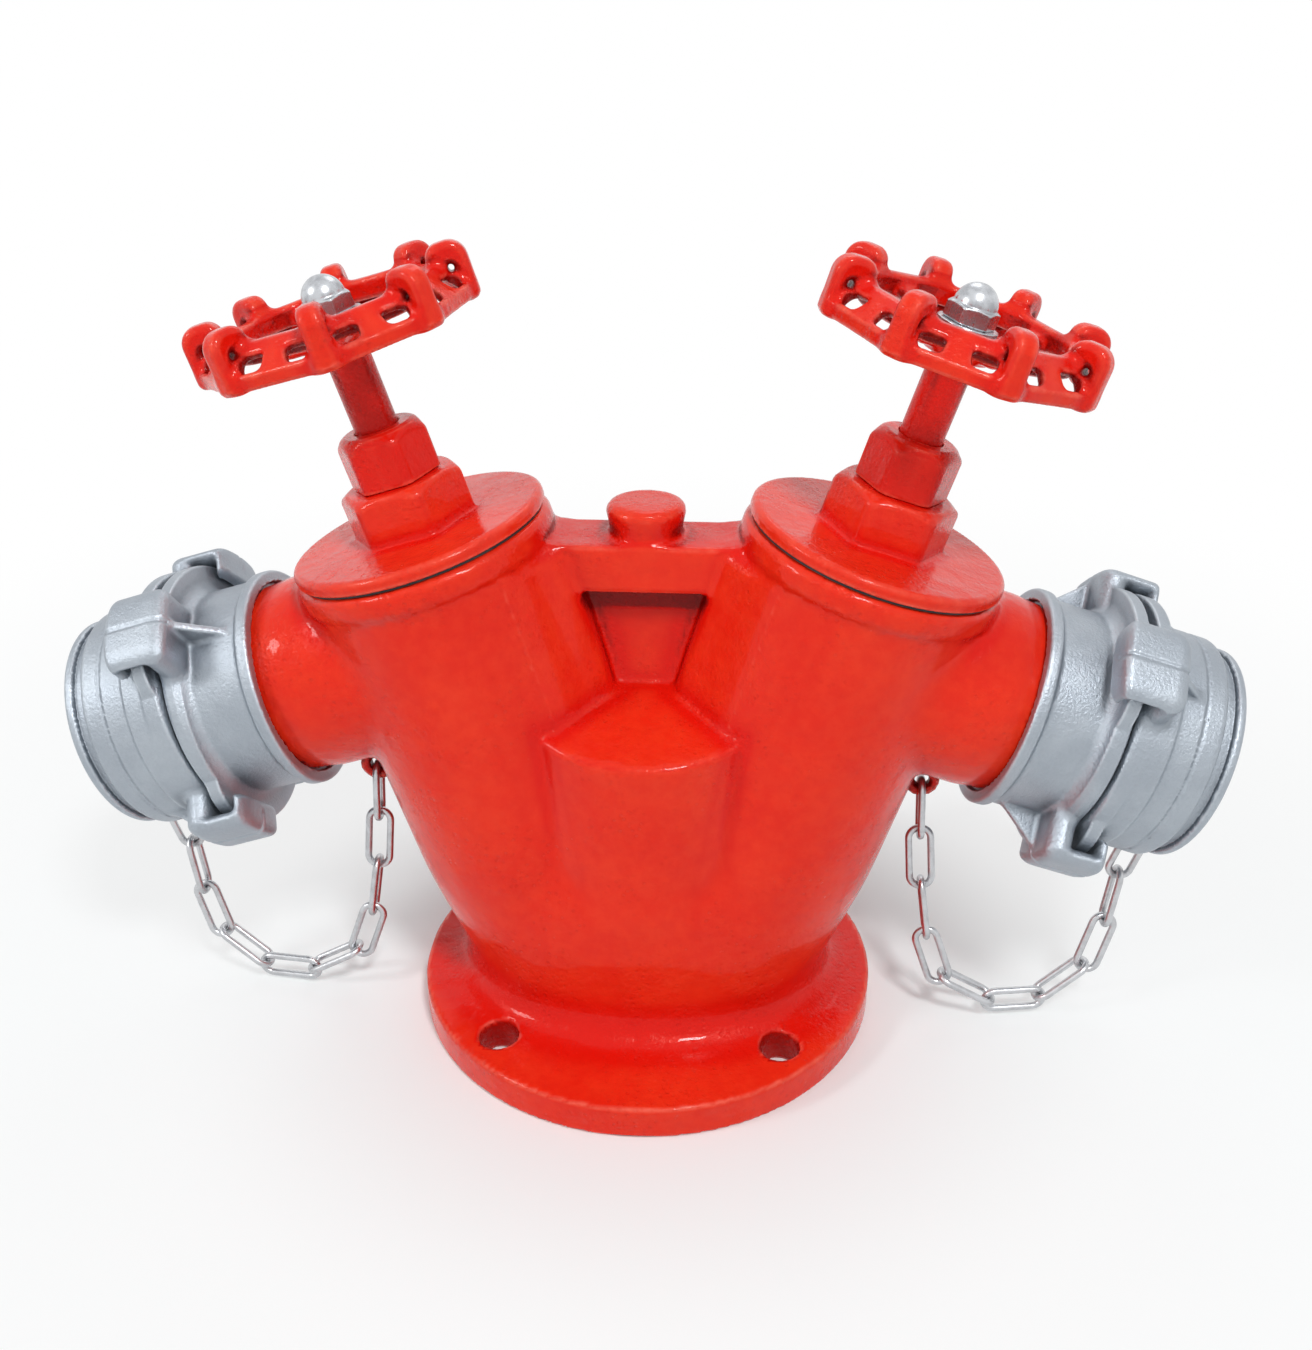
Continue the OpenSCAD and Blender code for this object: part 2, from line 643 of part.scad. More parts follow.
module wheel_wall() {
    band_r = wheel_r - 2.5;
    rotate_extrude() polygon([[band_r - rim_t, 0.8], [band_r - 1, 0], [band_r, 1.2],
        [band_r - 0.8, rim_band_h], [ring_r + 7, ring_top_h - ring_h], [ring_r + 6.5, ring_top_h - 1],
        [ring_r + 4.5, ring_top_h], [ring_r + 1, ring_top_h], [ring_r, ring_top_h - 1],
        [ring_r, ring_top_h - ring_h], [band_r - rim_t - 0.5, rim_band_h - 1]]);
}

// A window's lower and upper edges follow the band and the ring
module window() {
    half_w = PI * (ring_r + 7) / (lobe_count * window_count) - 3.6;
    translate([ring_r - 3, 0, 0]) rotate([90, 0, 90]) linear_extrude(wheel_r - ring_r + 4)
        polygon(rounded(-half_w, half_w, rim_band_h - 0.3, ring_top_h - ring_h + 0.5, 1.8));
}

// A lobe: a hoop that stands on the band and arches over to the upper ring
module hoop() {
    bend_r = 7.5;
    bar = 6.5;
    top = wheel_h - bend_r;
    mid_r = ring_r + 7;
    rotate([90, 0, 0]) translate([0, 0, -hoop_t / 2]) linear_extrude(hoop_t) polygon(concat(
        [[wheel_r - bar, 0.4], [wheel_r - 1.2, 0], [wheel_r, 1.2]],
        arc(wheel_r - bend_r, top, bend_r, 0, 90, 6),
        arc(mid_r, wheel_h - 6, 6, 90, 150, 4),
        [[ring_r + 1, ring_top_h - 2], [ring_r + 5.5, ring_top_h - ring_h]],
        arc(wheel_r - bend_r, top, bend_r - bar + 1.5, 110, 0, 4),
        [[wheel_r - bar, rim_band_h]]));
}

module spoke() {
    foot = hub_foot_l - wheel_l;
    rotate([90, 0, 0]) translate([0, 0, -4.5]) linear_extrude(9)
        polygon([[hub_r - 2, foot + 1], [hub_r + 8, foot + 2], [ring_r + 2, ring_top_h - ring_h],
                 [ring_r + 3.5, ring_top_h - 1], [ring_r - 2, ring_top_h - 0.5], [hub_r + 5, foot + 8], [hub_r - 2, foot + 9]]);
}

module wheel_washer() {
    color("gainsboro") tube(washer_r, stud_r + fit_gap, hub_top_l, acorn_l);
}

module acorn_nut() {
    color("gainsboro") translate([0, 0, acorn_l]) difference() {
        union() {
            chamfered_hex(acorn_af, acorn_hex_h, 0.4);
            translate([0, 0, acorn_hex_h]) intersection() {
                sphere(r = dome_r);
                translate([0, 0, -1]) cylinder(r = dome_r + 1, h = dome_r + 2);
            }
        }
        translate([0, 0, -1]) cylinder(r = stud_r + fit_gap, h = acorn_hex_h + 1.5);
    }
}

// A claw reaches from its root over the other head's ledge and hooks behind it
module claw() {
    root = -claw_root_l;
    half_w = claw_w / 2;
    intersection() {
        rotate_extrude() polygon(concat(
            [[head_r - 6, 0], [head_r - 6, root + 2], [coupling_neck_r - 1, root - 5], [coupling_neck_r + 0.5, root - 5.5]],
            arc(coupling_neck_r + 8, root - 6, 6, 165, 105, 4),
            arc(claw_reach - 4, root + 5, 5, 255, 360, 5),
            arc(claw_reach - 2, claw_tip_z - 4, 4, 0, 90, 4),
            [[lip_in_r + 1.5, claw_tip_z], [lip_in_r, claw_tip_z - 1.5], [lip_in_r, lip_z], [slot_r, lip_z], [slot_r, 0]]));
        translate([0, 0, -60]) linear_extrude(120)
            polygon(rounded(head_r - 30, claw_reach, -half_w, half_w, claw_round));
        rotate([90, 0, 90]) linear_extrude(claw_reach + 5)
            polygon(rounded(-half_w, half_w, root - 16, claw_tip_z, claw_round));
    }
    rotate([90, 0, 0]) translate([0, 0, -fin_t / 2]) linear_extrude(fin_t)
        polygon([[head_r - 7, root], [head_r - 7, root - fin_l], [coupling_neck_r + 0.6, root - fin_l],
                 [head_r + 9, root - 2]]);
}

// The ledge runs round from a claw, then fades out before the next one. Its back is
// a plane that leans a little, so that the other head's hooks tighten as they turn
module ledge() {
    start = 10;
    step = 4;
    lean = atan(ledge_slope / lip_contact_r);
    rim = [for (a = [start : step : ledge_end]) let (fade = max(0, (a - ledge_fade) / (ledge_end - ledge_fade)))
        (ledge_reach - (ledge_reach - head_r + 2) * fade * fade) * [cos(a), sin(a)]];
    intersection() {
        translate([0, 0, -ledge_t - 5]) linear_extrude(ledge_t + 5) polygon(concat([[0, 0]], rim));
        translate([0, 0, -ledge_t]) rotate([0, lean, 0])
            translate([-2 * head_r, -2 * head_r, 0]) cube([4 * head_r, 4 * head_r, 30]);
    }
}

// Two claws and two ledges half a turn apart: the same on a coupling and on a cap
module claw_pair() {
    for (a = [0, 180]) rotate([0, 0, a]) {
        claw();
        ledge();
    }
}

module coupling(claw_angle) {
    color("silver") difference() {
        union() {
            rotate_extrude() polygon([[inlet_bore_r, coupling_mouth_d], [bead_r - 1, coupling_mouth_d],
                [bead_r, coupling_mouth_d + 1], [bead_r, coupling_mouth_d + bead_l - 1],
                [coupling_neck_r, coupling_mouth_d + bead_l], [coupling_neck_r, coupling_face_d - head_t - 8],
                [head_r - 1, coupling_face_d - head_t], [head_r, coupling_face_d - head_t + 1],
                [head_r, coupling_face_d], [inlet_bore_r, coupling_face_d]]);
            translate([0, 0, coupling_face_d]) rotate([0, 0, claw_angle]) claw_pair();
        }
        translate([0, 0, coupling_mouth_d - 1]) cylinder(r = neck_tail_r + 1.4, h = 4);
        translate([0, 0, coupling_mouth_d - 1])
            cylinder(r = spigot_r + fit_gap, h = spigot_end_d + inlet_gasket_t - coupling_mouth_d + 1);
        translate([0, 0, spigot_end_d]) cylinder(r = inlet_bore_r, h = joint_d);
        translate([0, 0, coupling_face_d - face_seal_d]) cylinder(r = face_seal_r + fit_gap, h = face_seal_d + 1);
    }
}

module inlet_gasket() {
    color("black") tube(spigot_r, inlet_bore_r, spigot_end_d, spigot_end_d + inlet_gasket_t);
}

module coupling_seal() {
    color("black") tube(face_seal_r, face_seal_in_r, coupling_face_d - face_seal_d, joint_d - 0.1);
}

// The cap's claws are the same head turned to face the coupling
module cap_ring(claw_angle) {
    color("silver") difference() {
        union() {
            rotate_extrude() polygon([[0, cap_face_d], [head_r, cap_face_d], [head_r, cap_face_d + cap_front_l - 1],
                [cap_band_r, cap_face_d + cap_front_l], [cap_band_r, cap_end_d - 2.5], [cap_band_r - 1.6, cap_end_d],
                [0, cap_end_d]]);
            translate([0, 0, cap_face_d]) rotate([180, 0, 0]) rotate([0, 0, -claw_angle]) claw_pair();
        }
        translate([0, 0, cap_face_d - claw_tip_z - 1]) cylinder(r = cap_bore_r, h = cap_ring_l + claw_tip_z + 2);
        translate([0, 0, lock_wire_d]) rotate_extrude() translate([cap_bore_r, 0]) circle(r = lock_wire_r + moving_gap);
    }
}

module cap_plug() {
    hollow_r = face_seal_in_r - 3;
    wall = 8;
    color("silver") difference() {
        rotate_extrude() polygon(concat(
            [[0, cap_face_d + 0.4], [plug_r, cap_face_d + 0.4], [plug_r, groove_d], [groove_r, groove_d],
             [groove_r, plug_lip_d], [plug_lip_r - 1, plug_lip_d], [plug_lip_r, plug_lip_d + 1]],
            arc(plug_lip_r - 2.5, plug_end_d - 2.5, 2.5, 0, 80, 5),
            [[plug_lip_r - 9, plug_end_d + plug_dome_h * 0.55], [plug_lip_r - 20, plug_end_d + plug_dome_h * 0.9],
             [0, plug_end_d + plug_dome_h]]));
        translate([0, 0, cap_face_d]) cylinder(r = hollow_r, h = plug_end_d - wall - cap_face_d);
        translate([0, 0, cap_face_d]) cylinder(r = face_seal_r + fit_gap, h = 0.4 + face_seal_d);
        translate([0, 0, lock_wire_d]) rotate_extrude() translate([plug_r, 0]) circle(r = lock_wire_r + fit_gap);
        translate([-plug_hole_r, 0, plug_lip_d - 1]) cylinder(r = plug_chain_r, h = plug_lip_t + plug_dome_h + 2);
        translate([-plug_lip_r - 1, -chain_hole_r, groove_d + eps])
            cube([plug_lip_r + 1 - slot_floor_r, 2 * chain_hole_r, groove_w - eps]);
    }
}

module cap_lock_wire() {
    color("gray") translate([0, 0, lock_wire_d]) rotate_extrude() translate([plug_r, 0]) circle(r = lock_wire_r);
}

module cap_seal() {
    color("black") tube(face_seal_r, face_seal_in_r, joint_d + 0.1, cap_face_d + 0.4 + face_seal_d);
}

// A welded link along z, its wire's two bows at both ends, its plane across y
module link() {
    straight = half_link - bow_r;
    for (a = [0, 180]) rotate([0, a, 0]) {
        translate([0, 0, straight]) rotate([90, 0, 0]) rotate_extrude(angle = 180, $fn = 48)
            translate([bow_r, 0]) circle(d = wire_d, $fn = 24);
        translate([bow_r, 0, -straight]) cylinder(d = wire_d, h = 2 * straight, $fn = 24);
    }
}

// Lengths between the points at which the hanging links meet: each such point is
// the centre of an in-plane link's bow. mid_l is how far along the middle of one is
function seg_l(i) = i == 0 ? 2 * half_link + bow_r - wire_d - link_gap
    : i % 2 == 1 ? 2 * (half_link - bow_r) : 2 * (half_link + bow_r - wire_d - link_gap);
function sum_list(v, i = 0) = i == len(v) ? 0 : v[i] + sum_list(v, i + 1);
function mid_l(i) = seg_l(i) / 2 + (i == 0 ? 0 : sum_list([for (k = [0 : i - 1]) seg_l(k)]));
CHAIN_L = mid_l(hang_count - 1) + seg_l(hang_count - 1) / 2;

// A link's direction: its slope grows with its distance from the chain's lowest
// point, and the chain leans forward on the way down and back on the way up
function link_dir(i, growth, low, lean) =
    let (x = (mid_l(i) - low) / 60, m = growth * x * pow(abs(x), 1.2),
         w = -lean * sin(360 * mid_l(i) / CHAIN_L) * sqrt(1 + m * m))
    [1, w, m] / norm([1, w, m]);
function chain_point(n, growth, low, lean) = n == 0 ? [0, 0, 0] :
    chain_point(n - 1, growth, low, lean) + seg_l(n - 1) * link_dir(n - 1, growth, low, lean);
function find_low(rise, growth, lean, a, b, k) = let (m = (a + b) / 2) k == 0 ? m :
    chain_point(hang_count, growth, m, lean)[2] > rise ? find_low(rise, growth, lean, m, b, k - 1)
                                                       : find_low(rise, growth, lean, a, m, k - 1);
function find_growth(span, rise, lean, a, b, k) = let (m = (a + b) / 2) k == 0 ? m :
    chain_point(hang_count, m, find_low(rise, m, lean, 0, CHAIN_L, 18), lean)[0] > span
        ? find_growth(span, rise, lean, m, b, k - 1) : find_growth(span, rise, lean, a, m, k - 1);

// Hangs one chain between the ear's hole and the hole in the cap's lip
module chain(s, lean) {
    out = [cos(barrel_tilt), 0, -sin(barrel_tilt)];
    up = [sin(barrel_tilt), 0, cos(barrel_tilt)];
    foot = [barrel_foot_x, 0, 0];
    start = foot + ear_l * up + ear_u * out - [0, 0, hole_drop];
    hole = foot + (inlet_l - plug_hole_r) * up + plug_chain_d * out;
    way = hole - (2 * half_link - bow_r) * up - start;
    growth = find_growth(way[0], way[2], lean, 0.5, 12, 18);
    low = find_low(way[2], growth, lean, 0, CHAIN_L, 26);
    color("lightgray") mirror([s < 0 ? 1 : 0, 0, 0]) {
        for (i = [0 : hang_count - 1]) {
            dir = link_dir(i, growth, low, lean);
            reach = i == 0 ? half_link : seg_l(i) / 2;
            translate(start + chain_point(i, growth, low, lean) + reach * dir) along(dir)
                rotate([0, 0, i % 2 == 0 ? 90 : 0]) link();
        }
        translate(hole - half_link * up) along(up) link();
    }
}

// Turns the z axis to a direction, with the x axis left in the upright plane
module along(dir) {
    rotate([0, atan2(dir[0], dir[2]), 0]) rotate([asin(-dir[1]), 0, 0]) children();
}

module valve_part(part, wheel_turn) {
    if (part == "seat_ring") seat_ring();
    if (part == "valve_disc") valve_disc();
    if (part == "disc_seal") disc_seal();
    if (part == "seal_plate") seal_plate();
    if (part == "seal_nut") seal_nut();
    if (part == "stem_lock") stem_lock();
    if (part == "stem") rotate([0, 0, wheel_turn]) stem();
    if (part == "bonnet") bonnet();
    if (part == "bonnet_gasket") bonnet_gasket();
    if (part == "packing") packing();
    if (part == "gland_ring") gland_ring();
    if (part == "gland_nut") gland_nut();
    if (part == "handwheel") rotate([0, 0, wheel_turn]) handwheel();
    if (part == "wheel_washer") wheel_washer();
    if (part == "acorn_nut") acorn_nut();
}

module inlet_part(part, claw_angle) {
    if (part == "coupling") coupling(claw_angle);
    if (part == "inlet_gasket") inlet_gasket();
    if (part == "coupling_seal") coupling_seal();
    if (part == "cap_ring") cap_ring(claw_angle + lock_angle);
    if (part == "cap_plug") cap_plug();
    if (part == "cap_lock_wire") cap_lock_wire();
    if (part == "cap_seal") cap_seal();
}

body();
for (side = SIDES) {
    s = side_sign(side);
    claw_angle = side == "left" ? -claw_angle_left : claw_angle_right;
    for (part = PARTS) union() {
        on_barrel(s) valve_part(part, side == "left" ? wheel_turn_left : wheel_turn_right);
        on_inlet(s) inlet_part(part, claw_angle);
        if (part == "chain") chain(s, side == "left" ? lean_left : lean_right);
    }
}
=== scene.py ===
"""Looks of a fire department connection with two valves and two capped claw inlets.

The cast pieces are solids described by a signed distance: how far a point is from the
skin, negative inside. Softened unions of turned and extruded outlines give the fillets
of real castings, and a net of squares is then drawn over the zero level. All lengths
are millimetres until a mesh is written in metres.
"""
from __future__ import annotations

import logging
import math
from dataclasses import dataclass, field, replace
from enum import Enum
from typing import Callable, Sequence

import bpy
import mathutils
import numpy as np
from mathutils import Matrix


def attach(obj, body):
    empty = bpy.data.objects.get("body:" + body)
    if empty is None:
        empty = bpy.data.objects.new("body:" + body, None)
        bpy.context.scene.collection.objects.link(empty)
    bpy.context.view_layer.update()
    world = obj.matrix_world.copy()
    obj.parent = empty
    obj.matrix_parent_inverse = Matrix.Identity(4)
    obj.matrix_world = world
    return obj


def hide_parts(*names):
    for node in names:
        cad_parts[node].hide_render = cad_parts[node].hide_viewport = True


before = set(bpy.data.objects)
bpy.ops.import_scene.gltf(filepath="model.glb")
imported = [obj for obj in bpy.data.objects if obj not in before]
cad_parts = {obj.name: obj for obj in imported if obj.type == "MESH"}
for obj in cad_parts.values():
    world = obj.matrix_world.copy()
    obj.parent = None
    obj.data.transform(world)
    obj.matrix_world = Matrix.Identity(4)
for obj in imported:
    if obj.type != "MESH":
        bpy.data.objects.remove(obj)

LOG = logging.getLogger("fire_connection")
METRE = 0.001
SHADE_REACHES = (6.0, 14.0, 26.0)
CLOSE_REACHES = (3.0, 7.0)
Array = np.ndarray
Field = Callable[[Array], Array]
Corners = list[tuple[float, float]]
Triple = tuple[float, float, float]


class Side(Enum):
    """Which of the two inlets a piece belongs to."""

    LEFT = -1
    RIGHT = 1

    @property
    def word(self) -> str:
        """The side's name as nodes use it."""
        return self.name.lower()


# ---------------------------------------------------------------- distance helpers

def blend_min(a: Array, b: Array, k: float | Array) -> Array:
    """Union whose inner corner is filled with a fillet.

    Formula: the smaller distance, less a parabola of width k where both are close.

    Args:
        a: distances to one solid.
        b: distances to the other.
        k: width of the fillet.

    Returns:
        Distances to the filleted union.
    """
    h = np.clip(0.5 + 0.5 * (b - a) / k, 0.0, 1.0)
    return b + (a - b) * h - k * h * (1.0 - h)


def blend_max(a: Array, b: Array, k: float) -> Array:
    """Intersection whose outer edge is rounded to a width of k."""
    return -blend_min(-a, -b, k)


def carve(a: Array, b: Array, k: float) -> Array:
    """Solid a with solid b taken out and the edge rounded to a width of k."""
    return blend_max(a, -b, k)


def smooth_step(x: Array, low: float, high: float) -> Array:
    """Rises from 0 at low to 1 at high along a cubic."""
    t = np.clip((x - low) / (high - low), 0.0, 1.0)
    return t * t * (3.0 - 2.0 * t)


def arc(cx: float, cy: float, r: float, start: float, end: float, n: int = 6) -> Corners:
    """Points on a circle's arc, angles in degrees."""
    t = np.radians(np.linspace(start, end, n + 1))
    return list(zip(cx + r * np.cos(t), cy + r * np.sin(t)))


def rounded_box(u0: float, u1: float, v0: float, v1: float, r: float) -> Corners:
    """Outline of a rectangle with rounded corners."""
    return (arc(u1 - r, v0 + r, r, -90, 0) + arc(u1 - r, v1 - r, r, 0, 90)
            + arc(u0 + r, v1 - r, r, 90, 180) + arc(u0 + r, v0 + r, r, 180, 270))


def mirrored(side: Corners) -> Corners:
    """Closes a turned piece's side with its own mirror image across the axis."""
    return [(-u, w) for u, w in side[::-1]] + side


class Outline:
    """A closed outline in a plane, kept as a table of signed distances.

    Formula: the distance to the nearest edge, negative where a ray crosses the outline
    an odd number of times. Between the table's points it is read bilinearly.
    """

    def __init__(self, points: Corners, step: float = 0.4, margin: float = 10.0) -> None:
        """Works out the table.

        Args:
            points: the outline's corners in order.
            step: spacing of the table.
            margin: how far the table reaches past the outline.
        """
        corners = np.asarray(points, float)
        self.low = corners.min(0) - margin
        self.step = step
        size = np.ceil((corners.max(0) + margin - self.low) / step).astype(int) + 2
        u, v = np.meshgrid(*(self.low[i] + step * np.arange(size[i]) for i in (0, 1)), indexing="ij")
        best = np.full(u.shape, 1e12)
        odd = np.zeros(u.shape, bool)
        for (au, av), (bu, bv) in zip(corners, np.roll(corners, -1, 0)):
            eu, ev = bu - au, bv - av
            length2 = eu * eu + ev * ev
            if length2 < 1e-12:
                continue
            t = np.clip(((u - au) * eu + (v - av) * ev) / length2, 0.0, 1.0)
            best = np.minimum(best, (u - au - t * eu) ** 2 + (v - av - t * ev) ** 2)
            if av != bv:
                crosses = (av > v) != (bv > v)
                odd ^= crosses & (u < au + (v - av) * eu / ev)
        self.table = (np.sqrt(best) * np.where(odd, -1.0, 1.0)).astype(np.float32)

    def __call__(self, u: Array, v: Array) -> Array:
        """Reads the distance at points of the plane.

        Args:
            u: first coordinates.
            v: second coordinates.

        Returns:
            The distances; past the table they grow with the way from its rim.
        """
        nu, nv = self.table.shape
        fu, fv = (u - self.low[0]) / self.step, (v - self.low[1]) / self.step
        cu, cv = np.clip(fu, 0.0, nu - 1.001), np.clip(fv, 0.0, nv - 1.001)
        i, j = cu.astype(np.int32), cv.astype(np.int32)
        tu, tv = cu - i, cv - j
        flat = self.table.ravel()
        at = i * nv + j
        value = ((1 - tu) * ((1 - tv) * flat[at] + tv * flat[at + 1])
                 + tu * ((1 - tv) * flat[at + nv] + tv * flat[at + nv + 1]))
        return value + self.step * np.hypot(fu - cu, fv - cv)


def hexagon(x: Array, y: Array, flat: float, soft: float) -> Array:
    """Distance to a hexagon prism's sides.

    Formula: the largest of three folded coordinates, less half the width across flats.

    Args:
        x: coordinate towards a corner.
        y: coordinate towards a flat.
        flat: width across flats.
        soft: rounding of the corners.

    Returns:
        Distances in the plane.
    """
    ax, ay = np.abs(x), np.abs(y)
    slant = ax * math.cos(math.radians(30)) + ay * 0.5
    return blend_max(slant, ay, soft) - flat / 2


# ---------------------------------------------------------------- places and meshes

@dataclass(frozen=True)
class Place:
    """A local frame: an origin and three unit axes, in the part's own frame."""

    origin: Array
    axes: Array

    def outward(self, p: Array) -> Array:
        """Turns local coordinates into the part's."""
        return p @ self.axes + self.origin

    def lifted(self, height: float, turn: float = 0.0) -> "Place":
        """The same place moved along its own z axis and turned about it.

        Args:
            height: how far along.
            turn: how far about, in degrees.

        Returns:
            The new place.
        """
        c, s = math.cos(math.radians(turn)), math.sin(math.radians(turn))
        spin = np.array([[c, s, 0.0], [-s, c, 0.0], [0.0, 0.0, 1.0]])
        return Place(self.origin + height * self.axes[2], spin @ self.axes)


@dataclass(frozen=True)
class Layout:
    """Where barrels and inlets lie, as the castings were drawn."""

    barrel_tilt: float = 17.3
    barrel_foot: float = 24.0
    inlet_l: float = 195.6
    lock_angle: float = 79.0

    def claw(self, side: Side) -> float:
        """Angle of a coupling's claw from the top towards the front, in its inlet's frame."""
        return -34.0 if side is Side.LEFT else -40.0

    def barrel(self, side: Side) -> Place:
        """Frame on a barrel's axis: x outwards, z up the barrel.

        Args:
            side: which barrel.

        Returns:
            Its place.
        """
        s = side.value
        c, n = math.cos(math.radians(self.barrel_tilt)), math.sin(math.radians(self.barrel_tilt))
        return Place(np.array([s * self.barrel_foot, 0.0, 0.0]),
                     np.array([[s * c, 0.0, -n], [0.0, float(s), 0.0], [s * n, 0.0, c]]))

    def inlet(self, side: Side) -> Place:
        """Frame on an inlet's axis: x up, z outwards.

        Args:
            side: which inlet.

        Returns:
            Its place.
        """
        barrel = self.barrel(side)
        x, y, z = barrel.axes
        return Place(barrel.origin + self.inlet_l * z, np.array([z, -y, x]))


LAYOUT = Layout()


def gradient(shape: Field, p: Array, h: float = 0.06) -> Array:
    """Slope of a distance field, from differences along the three axes.

    Args:
        shape: the distance field.
        p: the places.
        h: half the way between the two readings.

    Returns:
        One row per place.
    """
    return np.stack([(in_slices(shape, p + d) - in_slices(shape, p - d)) / (2 * h) for d in np.eye(3) * h], 1)


@dataclass(frozen=True)
class Skin:
    """A net drawn over a solid, in local millimetres, with how hollow or sharp each place is."""

    points: Array
    faces: Array
    normals: Array
    hollow: Array
    edge: Array


def in_slices(shape: Field, points: Array, count: int = 250_000) -> Array:
    """Reads a field at many points, some at a time."""
    return np.concatenate([shape(points[i:i + count]) for i in range(0, len(points), count)])


def sample(shape: Field, low: Array, counts: Array, step: float, block: int = 4) -> Array:
    """Reads a field on a grid, finely only in the blocks that the skin may cross.

    Args:
        shape: the distance field.
        low: the grid's lowest corner.
        counts: points along each axis, whole blocks each.
        step: spacing.
        block: points along a block's side.

    Returns:
        The values, one per grid point.
    """
    blocks = counts // block
    centre = np.stack(np.meshgrid(*(low[i] + step * (block * np.arange(blocks[i]) + (block - 1) / 2)
                                    for i in range(3)), indexing="ij"), -1).reshape(-1, 3)
    rough = in_slices(shape, centre).reshape(tuple(blocks)).astype(np.float32)
    near = np.abs(rough) < 1.3 * math.sqrt(3) * step * (block - 1) / 2 + step
    values = np.repeat(np.repeat(np.repeat(rough, block, 0), block, 1), block, 2)
    inner = np.stack(np.meshgrid(*(np.arange(block),) * 3, indexing="ij"), -1).reshape(1, -1, 3)
    at = (np.argwhere(near)[:, None, :] * block + inner).reshape(-1, 3)
    values[tuple(at.T)] = in_slices(shape, low + step * at)
    return values


def sharpness(shape: Field, points: Array, reach: float = 1.5) -> Array:
    """How sharply the skin bends outwards: 1 on a square edge, 0 on flats and in fillets.

    Formula: the mean of the field at six neighbours, which is zero over a flat skin.

    Args:
        shape: the distance field.
        points: places on the skin.
        reach: how far off the neighbours are.

    Returns:
        The sharpness, from 0 to 1.
    """
    total = np.zeros(len(points))
    for axis in np.eye(3) * reach:
        total += in_slices(shape, points + axis) + in_slices(shape, points - axis)
    return np.clip(total / (6 * 0.3 * reach), 0.0, 1.0)


def draw(shape: Field, low: Sequence[float], high: Sequence[float], step: float,
         reaches: Sequence[float] = SHADE_REACHES) -> Skin:
    """Draws a net of squares over a field's zero level.

    Formula: each grid cell that the skin crosses gets one point, the mean of its edges'
    crossings, drawn onto the skin along the field's slope. Each grid edge that the skin
    crosses gets a square that joins the four cells around it. A place is hollow where
    the field grows slower than its own normal, on the mean of some reaches.

    Args:
        shape: the distance field.
        low: lowest corner of the space, clear of the solid.
        high: highest corner, clear of the solid.
        step: size of a cell.
        reaches: how far off other walls still shade a place.

    Returns:
        The net.
    """
    low = np.asarray(low, float)
    counts = (np.ceil((np.asarray(high, float) - low) / step / 4).astype(int) + 1) * 4
    values = sample(shape, low, counts, step)
    inside = values < 0
    offsets = np.array([[i, j, k] for i in (0, 1) for j in (0, 1) for k in (0, 1)])
    n = counts - 1
    total = np.zeros(tuple(n), np.int8)
    for i, j, k in offsets:
        total += inside[i:i + n[0], j:j + n[1], k:k + n[2]]
    active = (total > 0) & (total < 8)
    cells = np.argwhere(active)
    index = np.full(tuple(n), -1, np.int64)
    index[active] = np.arange(len(cells))
    v = np.stack([values[tuple((cells + o).T)] for o in offsets], 1)
    sums = np.zeros((len(cells), 3))
    hits = np.zeros(len(cells))
    for a in range(8):
        for b in range(a + 1, 8):
            if np.abs(offsets[a] - offsets[b]).sum() != 1:
                continue
            cut = (v[:, a] < 0) != (v[:, b] < 0)
            t = np.where(cut, v[:, a] / np.where(cut, v[:, a] - v[:, b], 1.0), 0.0)
            sums += np.where(cut[:, None], offsets[a] + t[:, None] * (offsets[b] - offsets[a]), 0.0)
            hits += cut
    points = low + step * (cells + sums / hits[:, None])
    for _ in range(2):
        slope = gradient(shape, points)
        move = -(in_slices(shape, points) / np.maximum((slope ** 2).sum(1), 0.2))[:, None] * slope
        points += np.clip(move, -0.4 * step, 0.4 * step)
    squares = []
    for a in range(3):
        b, c = (a + 1) % 3, (a + 2) % 3
        here, there = [slice(1, None)] * 3, [slice(1, None)] * 3
        here[a], there[a] = slice(0, n[a]), slice(1, n[a] + 1)
        here[b] = there[b] = slice(1, n[b])
        here[c] = there[c] = slice(1, n[c])
        first, second = inside[tuple(here)], inside[tuple(there)]
        for way, mask in ((1, first & ~second), (-1, second & ~first)):
            at = np.argwhere(mask)
            ring = []
            for db, dc in ((0, 0), (1, 0), (1, 1), (0, 1))[::way]:
                q = at.copy()
                q[:, b] += db
                q[:, c] += dc
                ring.append(index[tuple(q.T)])
            squares.append(np.stack(ring, 1))
    normals = gradient(shape, points)
    normals /= np.linalg.norm(normals, axis=1)[:, None] + 1e-9
    hollow = np.mean([np.clip(1.0 - in_slices(shape, points + d * normals) / d, 0.0, 1.0)
                      for d in reaches], 0)
    return Skin(points, np.concatenate(squares), normals, hollow, sharpness(shape, points))


